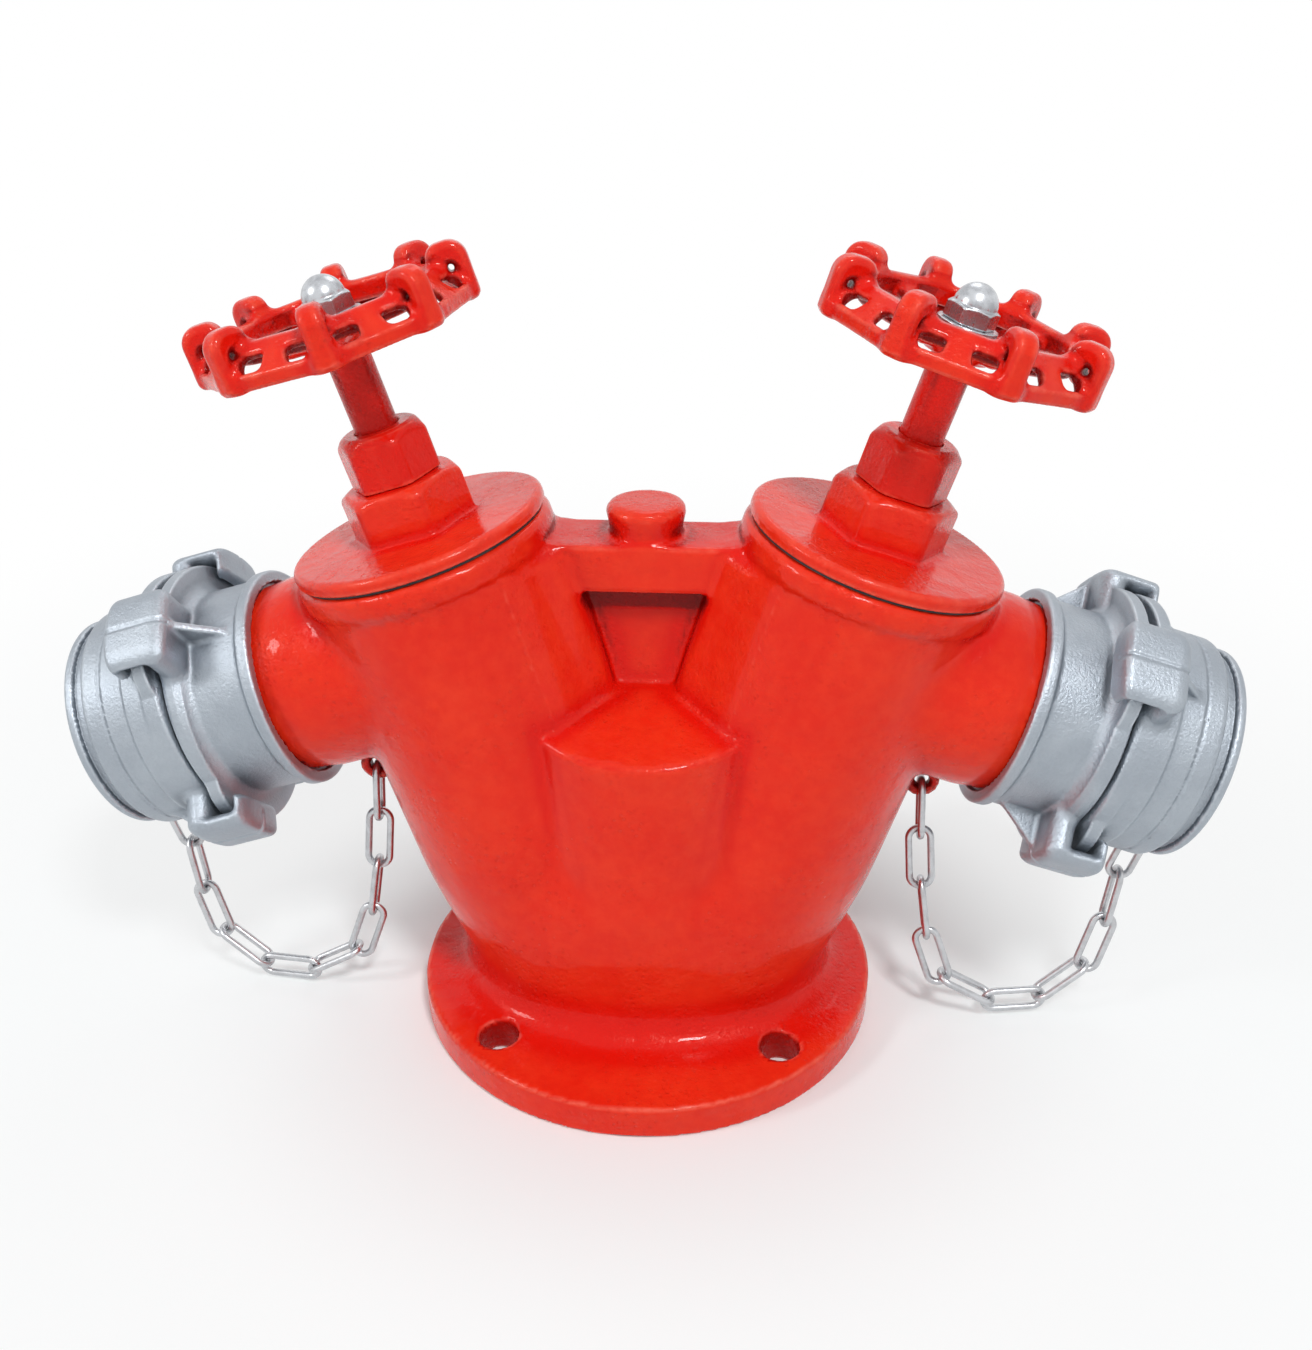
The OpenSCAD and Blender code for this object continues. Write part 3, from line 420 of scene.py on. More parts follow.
def write_mesh(name: str, points: Array, faces: Array, normals: Array | None = None,
               **marks: Array) -> bpy.types.Object:
    """Makes an object of points and equal-sided faces.

    Args:
        name: the object's name.
        points: places in millimetres in the part's frame.
        faces: rows of point indices.
        normals: shading normals, one per point, where they're known better.
        marks: further values, one per point, that a finish may read.

    Returns:
        The new object.
    """
    mesh = bpy.data.meshes.new(name)
    count, sides = faces.shape
    mesh.vertices.add(len(points))
    mesh.vertices.foreach_set("co", (points * METRE).astype(np.float32).ravel())
    mesh.loops.add(count * sides)
    mesh.loops.foreach_set("vertex_index", faces.astype(np.int32).ravel())
    mesh.polygons.add(count)
    mesh.polygons.foreach_set("loop_start", np.arange(0, count * sides, sides, dtype=np.int32))
    mesh.update(calc_edges=True)
    mesh.polygons.foreach_set("use_smooth", np.ones(count, bool))
    for key, values in marks.items():
        mesh.attributes.new(key, "FLOAT", "POINT").data.foreach_set("value", values.astype(np.float32))
    if normals is not None:
        mesh.normals_split_custom_set_from_vertices(normals)
    obj = bpy.data.objects.new(name, mesh)
    bpy.context.scene.collection.objects.link(obj)
    return obj


def put(name: str, skin: Skin, place: Place | None = None) -> bpy.types.Object:
    """Writes a net as an object, in its place in the part's frame.

    Args:
        name: the object's name.
        skin: the net, in its own frame.
        place: that frame, where it isn't the part's.

    Returns:
        The new object.
    """
    points, normals = skin.points, skin.normals
    if place is not None:
        points, normals = place.outward(points), normals @ place.axes
    LOG.info("%s: %d squares", name, len(skin.faces))
    return write_mesh(name, points, skin.faces, normals, hollow=skin.hollow, edge=skin.edge)


# ---------------------------------------------------------------- pieces of the connection

def box_2d(u: Array, v: Array, half_u: float, half_v: float, soft: float) -> Array:
    """Distance to a rectangle about the origin, its corners softened."""
    return blend_max(np.abs(u) - half_u, np.abs(v) - half_v, soft)


class Piece:
    """A piece that is known by its distance field."""

    def keep(self, **outlines: Outline) -> None:
        """Stores prepared outlines in a piece that is otherwise frozen."""
        for name, outline in outlines.items():
            object.__setattr__(self, name, outline)

    def shape(self, p: Array) -> Array:
        """Distance to the piece.

        Args:
            p: points in the piece's own frame.

        Returns:
            The distances.
        """
        raise NotImplementedError

    def drawn(self, reach: float, low: float, high: float, step: float,
              reaches: Sequence[float] = SHADE_REACHES) -> Skin:
        """Draws the piece in a square column about its axis.

        Args:
            reach: half the column's width.
            low: the column's foot.
            high: its top.
            step: size of a cell.
            reaches: how far off other walls still shade a place.

        Returns:
            The net.
        """
        return draw(self.shape, (-reach, -reach, low), (reach, reach, high), step, reaches)


@dataclass(frozen=True)
class BodyCasting(Piece):
    """The breeching body: bolt flange, column, two leaning barrels, necks, web and ears."""

    flange_r: float = 107.5
    flange_t: float = 16.0
    flange_fillet: float = 17.0
    bolt_pcd: float = 180.0
    bolt_hole_r: float = 9.0
    waterway_r: float = 50.0
    barrel_l: float = 241.8
    barrel_foot_r: float = 49.5
    barrel_r: float = 54.6
    lip_r: float = 56.6
    lip_h: float = 14.0
    column_r: float = 62.0
    column_wall: float = 8.5
    column_room: tuple[float, float] = (15.0, 137.0)
    ridge_h: float = 170.0
    ridge_half_t: float = 9.0
    ridge_slope: float = 0.264
    foot_h: float = 92.0
    foot_fade: tuple[float, float] = (20.0, 96.0)
    foot_spread: float = 29.8
    foot_shrink: float = 11.5
    web_top_h: float = 235.7
    web_half_t: float = 16.5
    web_head_h: float = 21.0
    web_foot_h: float = 150.0
    pocket_half_t: float = 4.5
    pocket_shade: float = 0.82
    flank_reach: float = 61.0
    flank_slope: float = 0.9286
    flank_top: float = 229.0
    boss_r: float = 16.8
    boss_h: float = 14.6
    neck_r: float = 43.5
    inlet_bore_r: float = 33.0
    ear_u: float = 60.5
    ear_l: float = 144.3
    ear_r: float = 8.0
    ear_half_t: float = 2.75
    chain_hole_r: float = 3.35
    flange: Outline = field(init=False)
    barrel: Outline = field(init=False)
    neck: Outline = field(init=False)
    chamber: Outline = field(init=False)
    boss: Outline = field(init=False)

    def __post_init__(self) -> None:
        """Prepares the turned outlines."""
        foot_r, r, lip = self.barrel_foot_r, self.barrel_r, self.barrel_l - self.lip_h
        side = [(foot_r, 18.0), (foot_r, 34.0)]
        side += [(foot_r + (r - foot_r) * (3 * t * t - 2 * t ** 3), 34 + 70 * t) for t in np.linspace(0.1, 1, 10)]
        side += [(r - 0.4, lip - 6.0), (r - 0.4, lip - 1.0), (r, lip + 1.5), (self.lip_r - 0.6, lip + 3.6),
                 (self.lip_r, lip + 5.4)]
        side += arc(self.lip_r - 4.6, self.barrel_l - 4.6, 4.6, 8, 90, 7)
        necks = [(self.neck_r, -4.0), (self.neck_r, 66.0), (43.3, 69.0), (42.5, 74.0), (42.3, 77.0), (42.3, 80.0),
                 (40.0, 80.0), (40.0, 98.4), (39.4, 99.0)]
        rooms = [(43.5, 20.0), (43.5, 146.0), (38.0, 146.0), (38.0, 156.0), (47.0, 156.0), (47.0, 246.0)]
        top = self.web_top_h + self.boss_h
        knob = ([(self.boss_r - 2.2, self.web_top_h - 8.0), (self.boss_r - 2.0, self.web_top_h + 1.0),
                 (self.boss_r - 0.4, top - 6.0)] + arc(self.boss_r - 4.0, top - 4.0, 4.0, 0, 90, 7))
        self.keep(flange=Outline(rounded_box(-self.flange_r, self.flange_r, 0, self.flange_t, 1.6)),
                  barrel=Outline(mirrored(side)), neck=Outline(mirrored(necks)),
                  chamber=Outline(mirrored(rooms)), boss=Outline(mirrored(knob), 0.25))

    def column(self, r: Array, y: Array, z: Array) -> Array:
        """Distance to the column between the barrels, under its sloping saddle.

        Args:
            r: distances from the body's axis.
            y: distances from its middle plane.
            z: heights.

        Returns:
            The distances.
        """
        saddle = z - self.ridge_h + self.ridge_slope * np.maximum(y - self.ridge_half_t, 0.0)
        return blend_max(r - self.column_r, saddle / 1.034, 3.0)

    def foot(self, x: Array, y: Array, z: Array) -> Array:
        """Distance to the oval foot, which spreads sideways from the column.

        Args:
            x: distances sideways.
            y: distances from the middle plane.
            z: heights.

        Returns:
            The distances.
        """
        fade = 1.0 - smooth_step(z, *self.foot_fade)
        oval = np.hypot(np.maximum(x - self.foot_spread * fade, 0.0), y) - (self.column_r - self.foot_shrink * fade)
        return blend_max(oval, z - self.foot_h, 24.0)

    def web(self, x: Array, y: Array, z: Array) -> Array:
        """Distance to the web: its head, the thin wall behind the pocket, that wall's sloping foot, the boss.

        Args:
            x: distances sideways.
            y: distances from the middle plane.
            z: heights.

        Returns:
            The distances.
        """
        head_mid = self.web_top_h - self.web_head_h / 2
        above = self.web_foot_h - z
        head = np.maximum(box_2d(y, z - head_mid, self.web_half_t, self.web_head_h / 2, 2.2), x - 62.0)
        wall = np.maximum(np.maximum(y - self.pocket_half_t, z - head_mid), np.maximum(above, x - 50.0))
        slope = np.maximum((y - 10.0 + 0.3 * (z - 168.0)) / 1.044, np.maximum(z - 196.0, x - 34.0))
        web = blend_min(blend_min(head, wall, 2.2), np.maximum(slope, above), 2.6)
        return blend_min(web, self.boss(np.hypot(x, y), z), 5.0)

    def flank(self, y: Array, u: Array, w: Array) -> Array:
        """Distance to the plane flank between a barrel and the web.

        Args:
            y: distances from the middle plane.
            u: distances outwards from the barrel's axis.
            w: distances along the barrel.

        Returns:
            The distances.
        """
        face = (y - self.web_half_t - self.flank_slope * (u + self.flank_reach)) * 0.7328
        flank = np.maximum(blend_max(face, -self.flank_reach - u, 3.0), u + 38.0)
        return blend_max(np.maximum(flank, 78.0 - w), w - self.flank_top, 7.0)

    def ear(self, y: Array, u: Array, w: Array) -> Array:
        """Distance to the chain's ear under a neck, with its hole.

        Args:
            y: distances from the middle plane.
            u: distances outwards from the barrel's axis.
            w: distances along the barrel.

        Returns:
            The distances.
        """
        out, up = u - self.ear_u, w - self.ear_l
        plate = np.minimum(np.hypot(out, up) - self.ear_r, box_2d(out + 5.0, up - 5.0, 5.0, 12.0, 2.0))
        return np.maximum(blend_max(plate, y - self.ear_half_t, 1.6), self.chain_hole_r - np.hypot(out, up))

    def shape(self, p: Array) -> Array:
        """Distance to the casting; its halves are alike both ways, so x and y are folded.

        Args:
            p: points in the part's frame.

        Returns:
            The distances.
        """
        x, y, z = np.abs(p[:, 0]), np.abs(p[:, 1]), p[:, 2]
        tilt = math.radians(LAYOUT.barrel_tilt)
        c, n = math.cos(tilt), math.sin(tilt)
        dx = x - LAYOUT.barrel_foot
        u, w = dx * c - z * n, dx * n + z * c
        r, around, along_neck = np.hypot(x, y), np.hypot(u, y), np.hypot(w - LAYOUT.inlet_l, y)
        crotch = 2.4 + 24.0 * (1.0 - smooth_step(z, 56.0, 112.0))
        trunk = blend_min(self.barrel(around, w), self.column(r, y, z), crotch)
        trunk = blend_min(blend_min(trunk, self.foot(x, y, z), 10.0), self.flank(y, u, w), 3.4)
        solid = blend_min(trunk, self.web(x, y, z), 2.8 + 6.0 * smooth_step(x, 36.0, 54.0))
        solid = blend_min(solid, self.neck(along_neck, u), 4.0 * smooth_step(-u, -72.0, -58.0) + 0.6)
        solid = blend_min(blend_min(solid, self.ear(y, u, w), 1.5), self.flange(r, z), self.flange_fillet)
        # Water rooms and bolt holes
        solid = np.maximum(solid, -self.chamber(around, w))
        solid = np.maximum(solid, -np.maximum(along_neck - self.inlet_bore_r, -u))
        low, high = self.column_room
        cavity = np.maximum(r - self.column_r + self.column_wall, np.maximum(low - z, z - high))
        solid = np.maximum(solid, -np.minimum(cavity, np.maximum(r - self.waterway_r, z - self.flange_t - 1.0)))
        at = self.bolt_pcd / 2 * math.sqrt(0.5)
        return np.maximum(carve(solid, np.hypot(x - at, y - at) - self.bolt_hole_r, 1.2), -z)

    def build(self) -> bpy.types.Object:
        """Draws the casting; under the web's head the pocket's upper wall gets a painted shadow, added to its hollow
        mark.

        Returns:
            The casting's object.
        """
        skin = draw(self.shape, (-192.0, -110.0, -4.0), (192.0, 110.0, 252.0), 2.28)
        x, y, z = skin.points.T
        under = self.web_top_h - self.web_head_h
        # painted shadow of the web's head on the pocket's upper wall
        shade = smooth_step(z, under - 13.5, under - 9.5) * (z < under + 1.5) * (np.abs(y) < 9.0) * (np.abs(x) < 36.0)
        return put("body_casting", replace(skin, hollow=np.maximum(skin.hollow, self.pocket_shade * shade)))


@dataclass(frozen=True)
class Handwheel(Piece):
    """A cast wheel: lobed rim with windows, hoops that join its two rings, spokes and hub."""

    wheel_l: float = 330.0
    turn: float = 11.0
    hoops: int = 8
    spokes: int = 4
    wheel_r: float = 59.5
    height: float = 24.0
    ring_r: float = 41.5
    ring_top: float = 16.0
    hoop_half_t: float = 4.8
    hoop_bend: float = 7.5
    hoop_bar: float = 6.6
    lobe_depth: float = 2.2
    window_at: float = 0.186
    window_half: tuple[float, float] = (4.9, 3.5)
    spoke_half_t: float = 4.6
    hub_r: float = 14.0
    hub_top: float = 9.5
    square_half: float = 5.6
    wall: Outline = field(init=False)
    hoop: Outline = field(init=False)
    spoke: Outline = field(init=False)

    def __post_init__(self) -> None:
        """Prepares the outlines of rim, hoop and spoke."""
        r, top, bend, inner = self.ring_r, self.ring_top, self.hoop_bend, self.wheel_r - self.hoop_bar
        high = self.height - bend
        wall = (arc(54.9, 1.9, 1.9, 180, 340, 6) + arc(55.4, 5.0, 1.5, 0, 45, 3)
                + arc(r + 3.9, top - 3.0, 3.0, 45, 85, 4) + arc(r + 2.0, top - 2.0, 2.0, 95, 180, 4)
                + arc(r + 2.0, 8.8, 1.8, 185, 330, 6) + [(r + 4.4, 10.6), (51.4, 5.6), (53.0, 3.6)])
        hoop = ([(inner, 0.6), (self.wheel_r - 1.6, 0.0), (self.wheel_r, 1.6)]
                + arc(self.wheel_r - bend, high, bend, 0, 90, 8) + arc(r + 7.0, self.height - 6.0, 6.0, 90, 160, 5)
                + [(r + 1.0, top - 2.0), (r + 5.5, top - 4.0)]
                + arc(inner - 1.8, high - 3.2, 1.8, 110, 0, 5) + [(inner + 0.2, 6.0)])
        spoke = [(self.hub_r - 4, 0.0), (self.hub_r + 8, 1.0), (r + 2, 8.0), (r + 3.0, 12.5),
                 (r - 1.0, 12.5), (self.hub_r + 5, 7.0), (self.hub_r - 4, 8.2)]
        self.keep(wall=Outline(wall, 0.3, 8.0), hoop=Outline(hoop, 0.3, 8.0), spoke=Outline(spoke, 0.3, 8.0))

    def rim(self, rho: Array, f: Array, z: Array) -> Array:
        """Distance to one sector of the rim, with its two windows.

        Args:
            rho: distances from the wheel's axis.
            f: angles from the sector's hoop.
            z: heights.

        Returns:
            The distances.
        """
        af = np.abs(f)
        pulled = rho + self.lobe_depth * smooth_step(af, 0.06, 0.34)
        down = 0.669 * (z - 9.2) - 0.743 * (pulled - 52.2)
        half_w, half_l = self.window_half
        window = blend_max(np.abs(rho * np.sin(af - self.window_at)) - half_w, np.abs(down) - half_l, 3.0)
        window = np.maximum(window, self.ring_r + 4.4 - pulled)
        return carve(self.wall(pulled, z), window, 1.8)

    def shape(self, p: Array) -> Array:
        """Distance to the wheel in its own frame, its like sectors folded into one.

        Args:
            p: points in the wheel's frame.

        Returns:
            The distances.
        """
        x, y, z = p.T
        rho, phi = np.hypot(x, y), np.arctan2(y, x)
        sector, quarter = math.tau / self.hoops, math.tau / self.spokes
        f = (phi + sector / 2) % sector - sector / 2
        hoop = blend_max(self.hoop(rho * np.cos(f), z), np.abs(rho * np.sin(f)) - self.hoop_half_t, 3.4)
        wheel = blend_min(self.rim(rho, f, z), hoop, 4.0)
        g = phi % quarter - quarter / 4
        spoke = blend_max(self.spoke(rho * np.cos(g), z), np.abs(rho * np.sin(g)) - self.spoke_half_t, 3.4)
        hub = blend_max(rho - self.hub_r, np.abs(z - self.hub_top / 2 + 0.5) - self.hub_top / 2 - 0.5, 1.6)
        wheel = blend_min(wheel, blend_min(spoke, hub, 4.0), 3.0)
        return np.maximum(wheel, -np.maximum(np.abs(x), np.abs(y)) + self.square_half)

    def build(self) -> Skin:
        """Draws one wheel."""
        return self.drawn(63.0, -4.0, 28.0, 0.95)

    def place(self, side: Side) -> Place:
        """Where a side's wheel sits on its barrel's axis."""
        return LAYOUT.barrel(side).lifted(self.wheel_l, self.turn)


@dataclass(frozen=True)
class Claws:
    """Two hooked claws and two crescent ledges half a turn apart; z = 0 is the head's face."""

    head_r: float = 51.5
    neck_r: float = 46.4
    reach: float = 69.0
    half_w: float = 18.6
    root: float = -12.0
    lip_z: float = 10.45
    tip_z: float = 17.95
    lip_in_r: float = 53.0
    slot_r: float = 60.2
    seam_depth: float = 0.85
    ledge_reach: float = 59.5
    ledge_t: float = 6.2
    ledge_back: float = 1.4
    ledge_turns: tuple[float, float] = (4.0, 174.0)
    ledge_fade: tuple[float, float] = (86.0, 113.0)
    fin_half_t: float = 1.8
    fin_l: float = 17.0
    block: Outline = field(init=False)
    fin: Outline = field(init=False)

    def __post_init__(self) -> None:
        """Prepares the claw's and its fin's outlines along the axis."""
        block = ([(44.0, 0.0), (44.0, self.root + 1.0), (self.neck_r + 2, self.root + 0.2)]
                 + arc(self.reach - 6, self.root + 6.5, 6.5, 262, 360, 8)
                 + arc(self.reach - 5, self.tip_z - 5, 5, 0, 90, 6)
                 + arc(self.lip_in_r + 2, self.tip_z - 2, 2, 90, 180, 3) + [(self.lip_in_r, self.lip_z)]
                 + arc(self.slot_r - 1.2, self.lip_z - 1.2, 1.2, 90, 0, 3) + [(self.slot_r, 0.0)])
        fin = [(40.0, self.root + 2), (40.0, self.root - self.fin_l), (self.neck_r + 0.6, self.root - self.fin_l),
               (self.head_r + 10, self.root)]
        object.__setattr__(self, "block", Outline(block, 0.4, 14.0))
        object.__setattr__(self, "fin", Outline(fin, 0.4, 14.0))

    def claw(self, x: Array, y: Array, z: Array) -> Array:
        """Distance to one claw with its draft, parting line and fin.

        Args:
            x: towards the claw.
            y: across it.
            z: towards the other head.

        Returns:
            The distances.
        """
        rho = np.hypot(x, y)
        bow = 0.0016 * y * y + 0.05 * np.abs(y)
        claw = blend_max(self.block(np.minimum(rho, x + 0.55 * (rho - x)), z), np.abs(y) - self.half_w, 8.0)
        claw = blend_max(claw, x + bow - self.reach, 6.5)
        claw = blend_max(claw, z - self.tip_z + 0.006 * y * y + 0.04 * np.abs(y), 4.5)
        seam = self.seam_depth * np.exp(-(y / 0.95) ** 2) * smooth_step(x, 56.0, 60.0)
        fin = blend_max(self.fin(rho, z), np.abs(y) - self.fin_half_t, 1.4)
        return blend_min(claw + seam, fin, 2.4)

    def ledge(self, rho: Array, turn: Array, z: Array) -> Array:
        """Distance to a crescent ledge, which starts at a claw and fades before the next.

        Args:
            rho: distances from the axis.
            turn: degrees from the claw.
            z: towards the other head.

        Returns:
            The distances.
        """
        start, end = self.ledge_fade
        fade = np.clip((turn - start) / (end - start), 0.0, 1.0)
        rim = self.ledge_reach - (self.ledge_reach - self.head_r + 6.0) * fade * fade
        rim = np.maximum(rim, self.head_r + 0.9 - 4.5 * np.clip((turn - 100.0) / 66.0, 0.0, 1.0) ** 1.5)
        ledge = blend_max(rho - rim, np.abs(z + self.ledge_back + self.ledge_t / 2) - self.ledge_t / 2, 1.0)
        first, last = self.ledge_turns
        return np.maximum(ledge, -np.radians(np.minimum(turn - first, last - turn)) * rho)

    def shape(self, x: Array, y: Array, z: Array) -> Array:
        """Distance to claws and ledges, the second of each folded on the first.

        Args:
            x: towards the first claw.
            y: across it.
            z: towards the other head.

        Returns:
            The distances.
        """
        turn = np.degrees(np.arctan2(y, x)) % 180.0
        flip = np.where(x < 0, -1.0, 1.0)
        return blend_min(self.claw(x * flip, y * flip, z), self.ledge(np.hypot(x, y), turn, z), 1.0)


@dataclass(frozen=True)
class Coupling(Piece):
    """The claw coupling screwed on an inlet's spigot."""

    face_d: float = 116.9
    bore_r: float = 44.5
    claws: Claws = field(default_factory=Claws)
    sleeve: Outline = field(init=False)

    def __post_init__(self) -> None:
        """Prepares the sleeve's outline with its stepped bore."""
        side = ([(43.8, 80.0), (43.8, 77.0)] + arc(47.6, 78.4, 1.4, -90, 0, 4) + arc(47.6, 81.4, 1.4, 0, 70, 4)
                + arc(48.0, 84.6, 1.6, 250, 180, 4) + [(46.4, 100.6)] + arc(49.6, 104.4, 3.2, 180, 140, 3)
                + [(50.4, 110.4)] + arc(50.3, 112.2, 1.2, -60, 0, 3)
                + [(51.5, 115.0), (50.9, 116.2), (49.4, 116.9)]
                + [(38.6, 116.9), (38.6, 112.9), (33.0, 112.9), (33.0, 101.5), (40.1, 101.5), (40.1, 80.0)])
        self.keep(sleeve=Outline(side, 0.3))

    def shape(self, p: Array) -> Array:
        """Distance to the coupling.

        Args:
            p: points in its inlet's frame, turned so that a claw lies on x.

        Returns:
            The distances.
        """
        x, y, z = p.T
        rho = np.hypot(x, y)
        solid = blend_min(self.sleeve(rho, z), self.claws.shape(x, y, z - self.face_d), 2.6)
        return np.maximum(solid, self.bore_r - rho - 20.0 * (z < self.face_d - 24.0) - 20.0 * (z > 70.0))

    def build(self) -> Skin:
        """Draws one coupling."""
        return self.drawn(74.0, 72.0, 138.0, 1.15)


@dataclass(frozen=True)
class CapRing(Piece):
    """The cap's turning ring, whose claws hook behind the coupling's ledges."""

    face_d: float = 118.1
    bore_r: float = 41.3
    claws: Claws = field(default_factory=Claws)
    sleeve: Outline = field(init=False)

    def __post_init__(self) -> None:
        """Prepares the ring's outline."""
        side = ([(self.bore_r, 118.1), (49.4, 118.1), (50.9, 118.8), (51.5, 120.0)] + arc(50.3, 134.4, 1.2, 0, 60, 3)
                + [(50.1, 136.4), (50.0, 137.4), (50.0, 145.6), (49.5, 146.1), (49.5, 147.3), (50.0, 147.8)]
                + arc(47.6, 153.7, 2.4, 0, 90, 5) + [(self.bore_r, 156.1)])
        self.keep(sleeve=Outline(side, 0.3))

    def shape(self, p: Array) -> Array:
        """Distance to the ring.

        Args:
            p: points in its inlet's frame, turned so that a claw lies on x.

        Returns:
            The distances.
        """
        x, y, z = p.T
        rho = np.hypot(x, y)
        solid = blend_min(self.sleeve(rho, z), self.claws.shape(x, -y, self.face_d - z), 2.6)
        return np.maximum(solid, self.bore_r - rho)

    def build(self) -> Skin:
        """Draws one ring."""
        return self.drawn(74.0, 96.0, 160.0, 1.15)


@dataclass(frozen=True)
class CapPlug(Piece):
    """The cap's plug, with the groove and hole that its chain hangs in."""

    hole_r: float = 4.0
    hole_at: float = 41.5
    turned: Outline = field(init=False)

    def __post_init__(self) -> None:
        """Prepares the turned outline."""
        side = ([(28.5, 157.9), (28.5, 122.5), (38.6, 122.5), (38.6, 118.5), (41.22, 118.5), (41.22, 156.4),
                 (45.0, 156.4), (45.0, 161.3), (46.7, 161.3), (47.5, 162.1)] + arc(45.0, 163.4, 2.5, 0, 80, 5)
                + [(43.2, 166.0), (42.6, 165.5), (41.9, 165.5), (41.3, 166.2), (38.5, 166.9), (27.5, 167.8),
                   (10.0, 168.1)])
        self.keep(turned=Outline(mirrored(side), 0.3))

    def shape(self, p: Array) -> Array:
        """Distance to the plug.

        Args:
            p: points in its inlet's frame.

        Returns:
            The distances.
        """
        x, y, z = p.T
        solid = self.turned(np.hypot(x, y), z)
        hole = np.maximum(np.hypot(x + self.hole_at, y) - self.hole_r, 160.3 - z)
        slot = np.maximum(np.maximum(x + 37.65, np.abs(y) - 3.3), np.abs(z - 158.85) - 2.45)
        return np.maximum(solid, -np.minimum(hole, slot))

    def build(self) -> Skin:
        """Draws one plug."""
        return self.drawn(51.0, 115.0, 172.0, 1.1)


@dataclass(frozen=True)
class Bonnet(Piece):
    """The screwed bonnet: disc, hexagon and the neck that the gland nut sits on."""

    disc_r: float = 55.75
    disc_l: float = 242.9
    disc_top: float = 248.7
    hex_af: float = 47.5
    hex_top: float = 270.2
    bore_r: float = 12.6
    turned: Outline = field(init=False)
    cone: Outline = field(init=False)

    def __post_init__(self) -> None:
        """Prepares the turned outline and the chamfer's cone."""
        side = ([(12.1, 240.9), (12.1, 215.4), (21.0, 215.4), (22.0, 236.9), (40.0, 236.9), (41.0, 224.9),
                 (46.9, 224.9), (46.9, 242.9)] + arc(self.disc_r - 0.8, self.disc_l + 0.8, 0.8, -90, 0, 3)
                + arc(self.disc_r - 2.8, self.disc_top - 2.8, 2.8, 0, 84, 6)
                + [(28.0, self.disc_top + 0.15), (14.65, 250.0), (14.65, 285.3), (13.0, 285.3), (13.0, 260.9),
                   (self.bore_r, 260.9), (self.bore_r, 240.9)])
        cone = [(30, 240), (30, 266.0), (24.0, 269.4), (22.6, self.hex_top)]
        self.keep(turned=Outline(side, 0.3), cone=Outline(mirrored(cone), 0.4))

    def shape(self, p: Array) -> Array:
        """Distance to the bonnet.

        Args:
            p: points in its barrel's frame.

        Returns:
            The distances.
        """
        x, y, z = p.T
        rho = np.hypot(x, y)
        nut = blend_max(hexagon(x, y, self.hex_af, 3.0), self.cone(rho, z), 1.8)
        nut = np.maximum(nut, self.disc_top - 1.0 - z)
        solid = blend_min(self.turned(rho, z), nut, 2.4)
        return np.maximum(solid, self.bore_r - rho - 0.5 * (z < 240.9))

    def build(self) -> Skin:
        """Draws one bonnet."""
        return self.drawn(60.0, 211.0, 290.0, 1.35, CLOSE_REACHES)


@dataclass(frozen=True)
class GlandNut(Piece):
    """The hexagon nut that presses on the stem's packing."""

    foot: float = 270.35
    top: float = 293.3
    across: float = 34.5
    wheel_shade: float = 0.22
    cone: Outline = field(init=False)

    def __post_init__(self) -> None:
        """Prepares the chamfer's cone."""
        side = [(19.0, self.foot), (22, self.foot + 1.0), (22, self.top - 6.4), (18.4, self.top - 3.2),
                (16.4, self.top - 1.0), (14.6, self.top)]
        self.keep(cone=Outline(mirrored(side), 0.25))

    def shape(self, p: Array) -> Array:
        """Distance to the nut.

        Args:
            p: points in its barrel's frame.

        Returns:
            The distances.
        """
        x, y, z = p.T
        rho = np.hypot(x, y)
        solid = blend_max(hexagon(x, y, self.across, 2.6), self.cone(rho, z), 1.4)
        room = np.maximum(rho - 14.75, z - self.top + 5.0)
        return np.maximum(solid, -np.minimum(room, rho - 9.6))

    def build(self) -> Skin:
        """Draws one nut, a little in the wheel's shade."""
        skin = self.drawn(23.0, 268.0, 297.0, 0.75, CLOSE_REACHES)
        # painted shade of the wheel above
        return replace(skin, hollow=skin.hollow + self.wheel_shade)


@dataclass(frozen=True)
class Stem(Piece):
    """The valve's stem, from its button in the disc to the stud above the wheel."""

    square_half: float = 5.5
    stud_r: float = 4.9
    thread_depth: float = 0.35
    thread_pitch: float = 3.0
    wheel_shade: float = 0.48
    turned: Outline = field(init=False)

    def __post_init__(self) -> None:
        """Prepares the turned outline."""
        side = [(10.0, 177.35), (11.0, 178.35), (11.0, 185.35), (8.0, 185.35), (8.0, 199.7), (12.0, 201.7),
                (12.0, 237.4), (9.2, 238.4), (9.2, 328.4), (8.6, 329.0)]
        self.keep(turned=Outline(mirrored(side), 0.3, 6.0))

    def shape(self, p: Array) -> Array:
        """Distance to the stem.

        Args:
            p: points in its barrel's frame.

        Returns:
            The distances.
        """
        x, y, z = p.T
        rho = np.hypot(x, y)
        square = np.maximum(blend_max(np.abs(x), np.abs(y), 0.8) - self.square_half, np.abs(z - 333.5) - 5.6)
        turns = z / self.thread_pitch - np.arctan2(y, x) / math.tau
        thread = self.thread_depth * np.sin(math.tau * turns) * (rho > 9.4) * (z < 236.0)
        stud = np.maximum(rho - self.stud_r, np.abs(z - 341.0) - 7.4)
        return np.minimum(np.minimum(self.turned(rho, z) - np.minimum(thread, 0.0), square), stud)

    def build(self) -> Skin:
        """Draws one stem, with the shade of the wheel above painted on it through its hollow mark."""
        skin = self.drawn(15.0, 174.0, 352.0, 0.85)
        # painted shade of the wheel above
        return replace(skin, hollow=skin.hollow + self.wheel_shade)


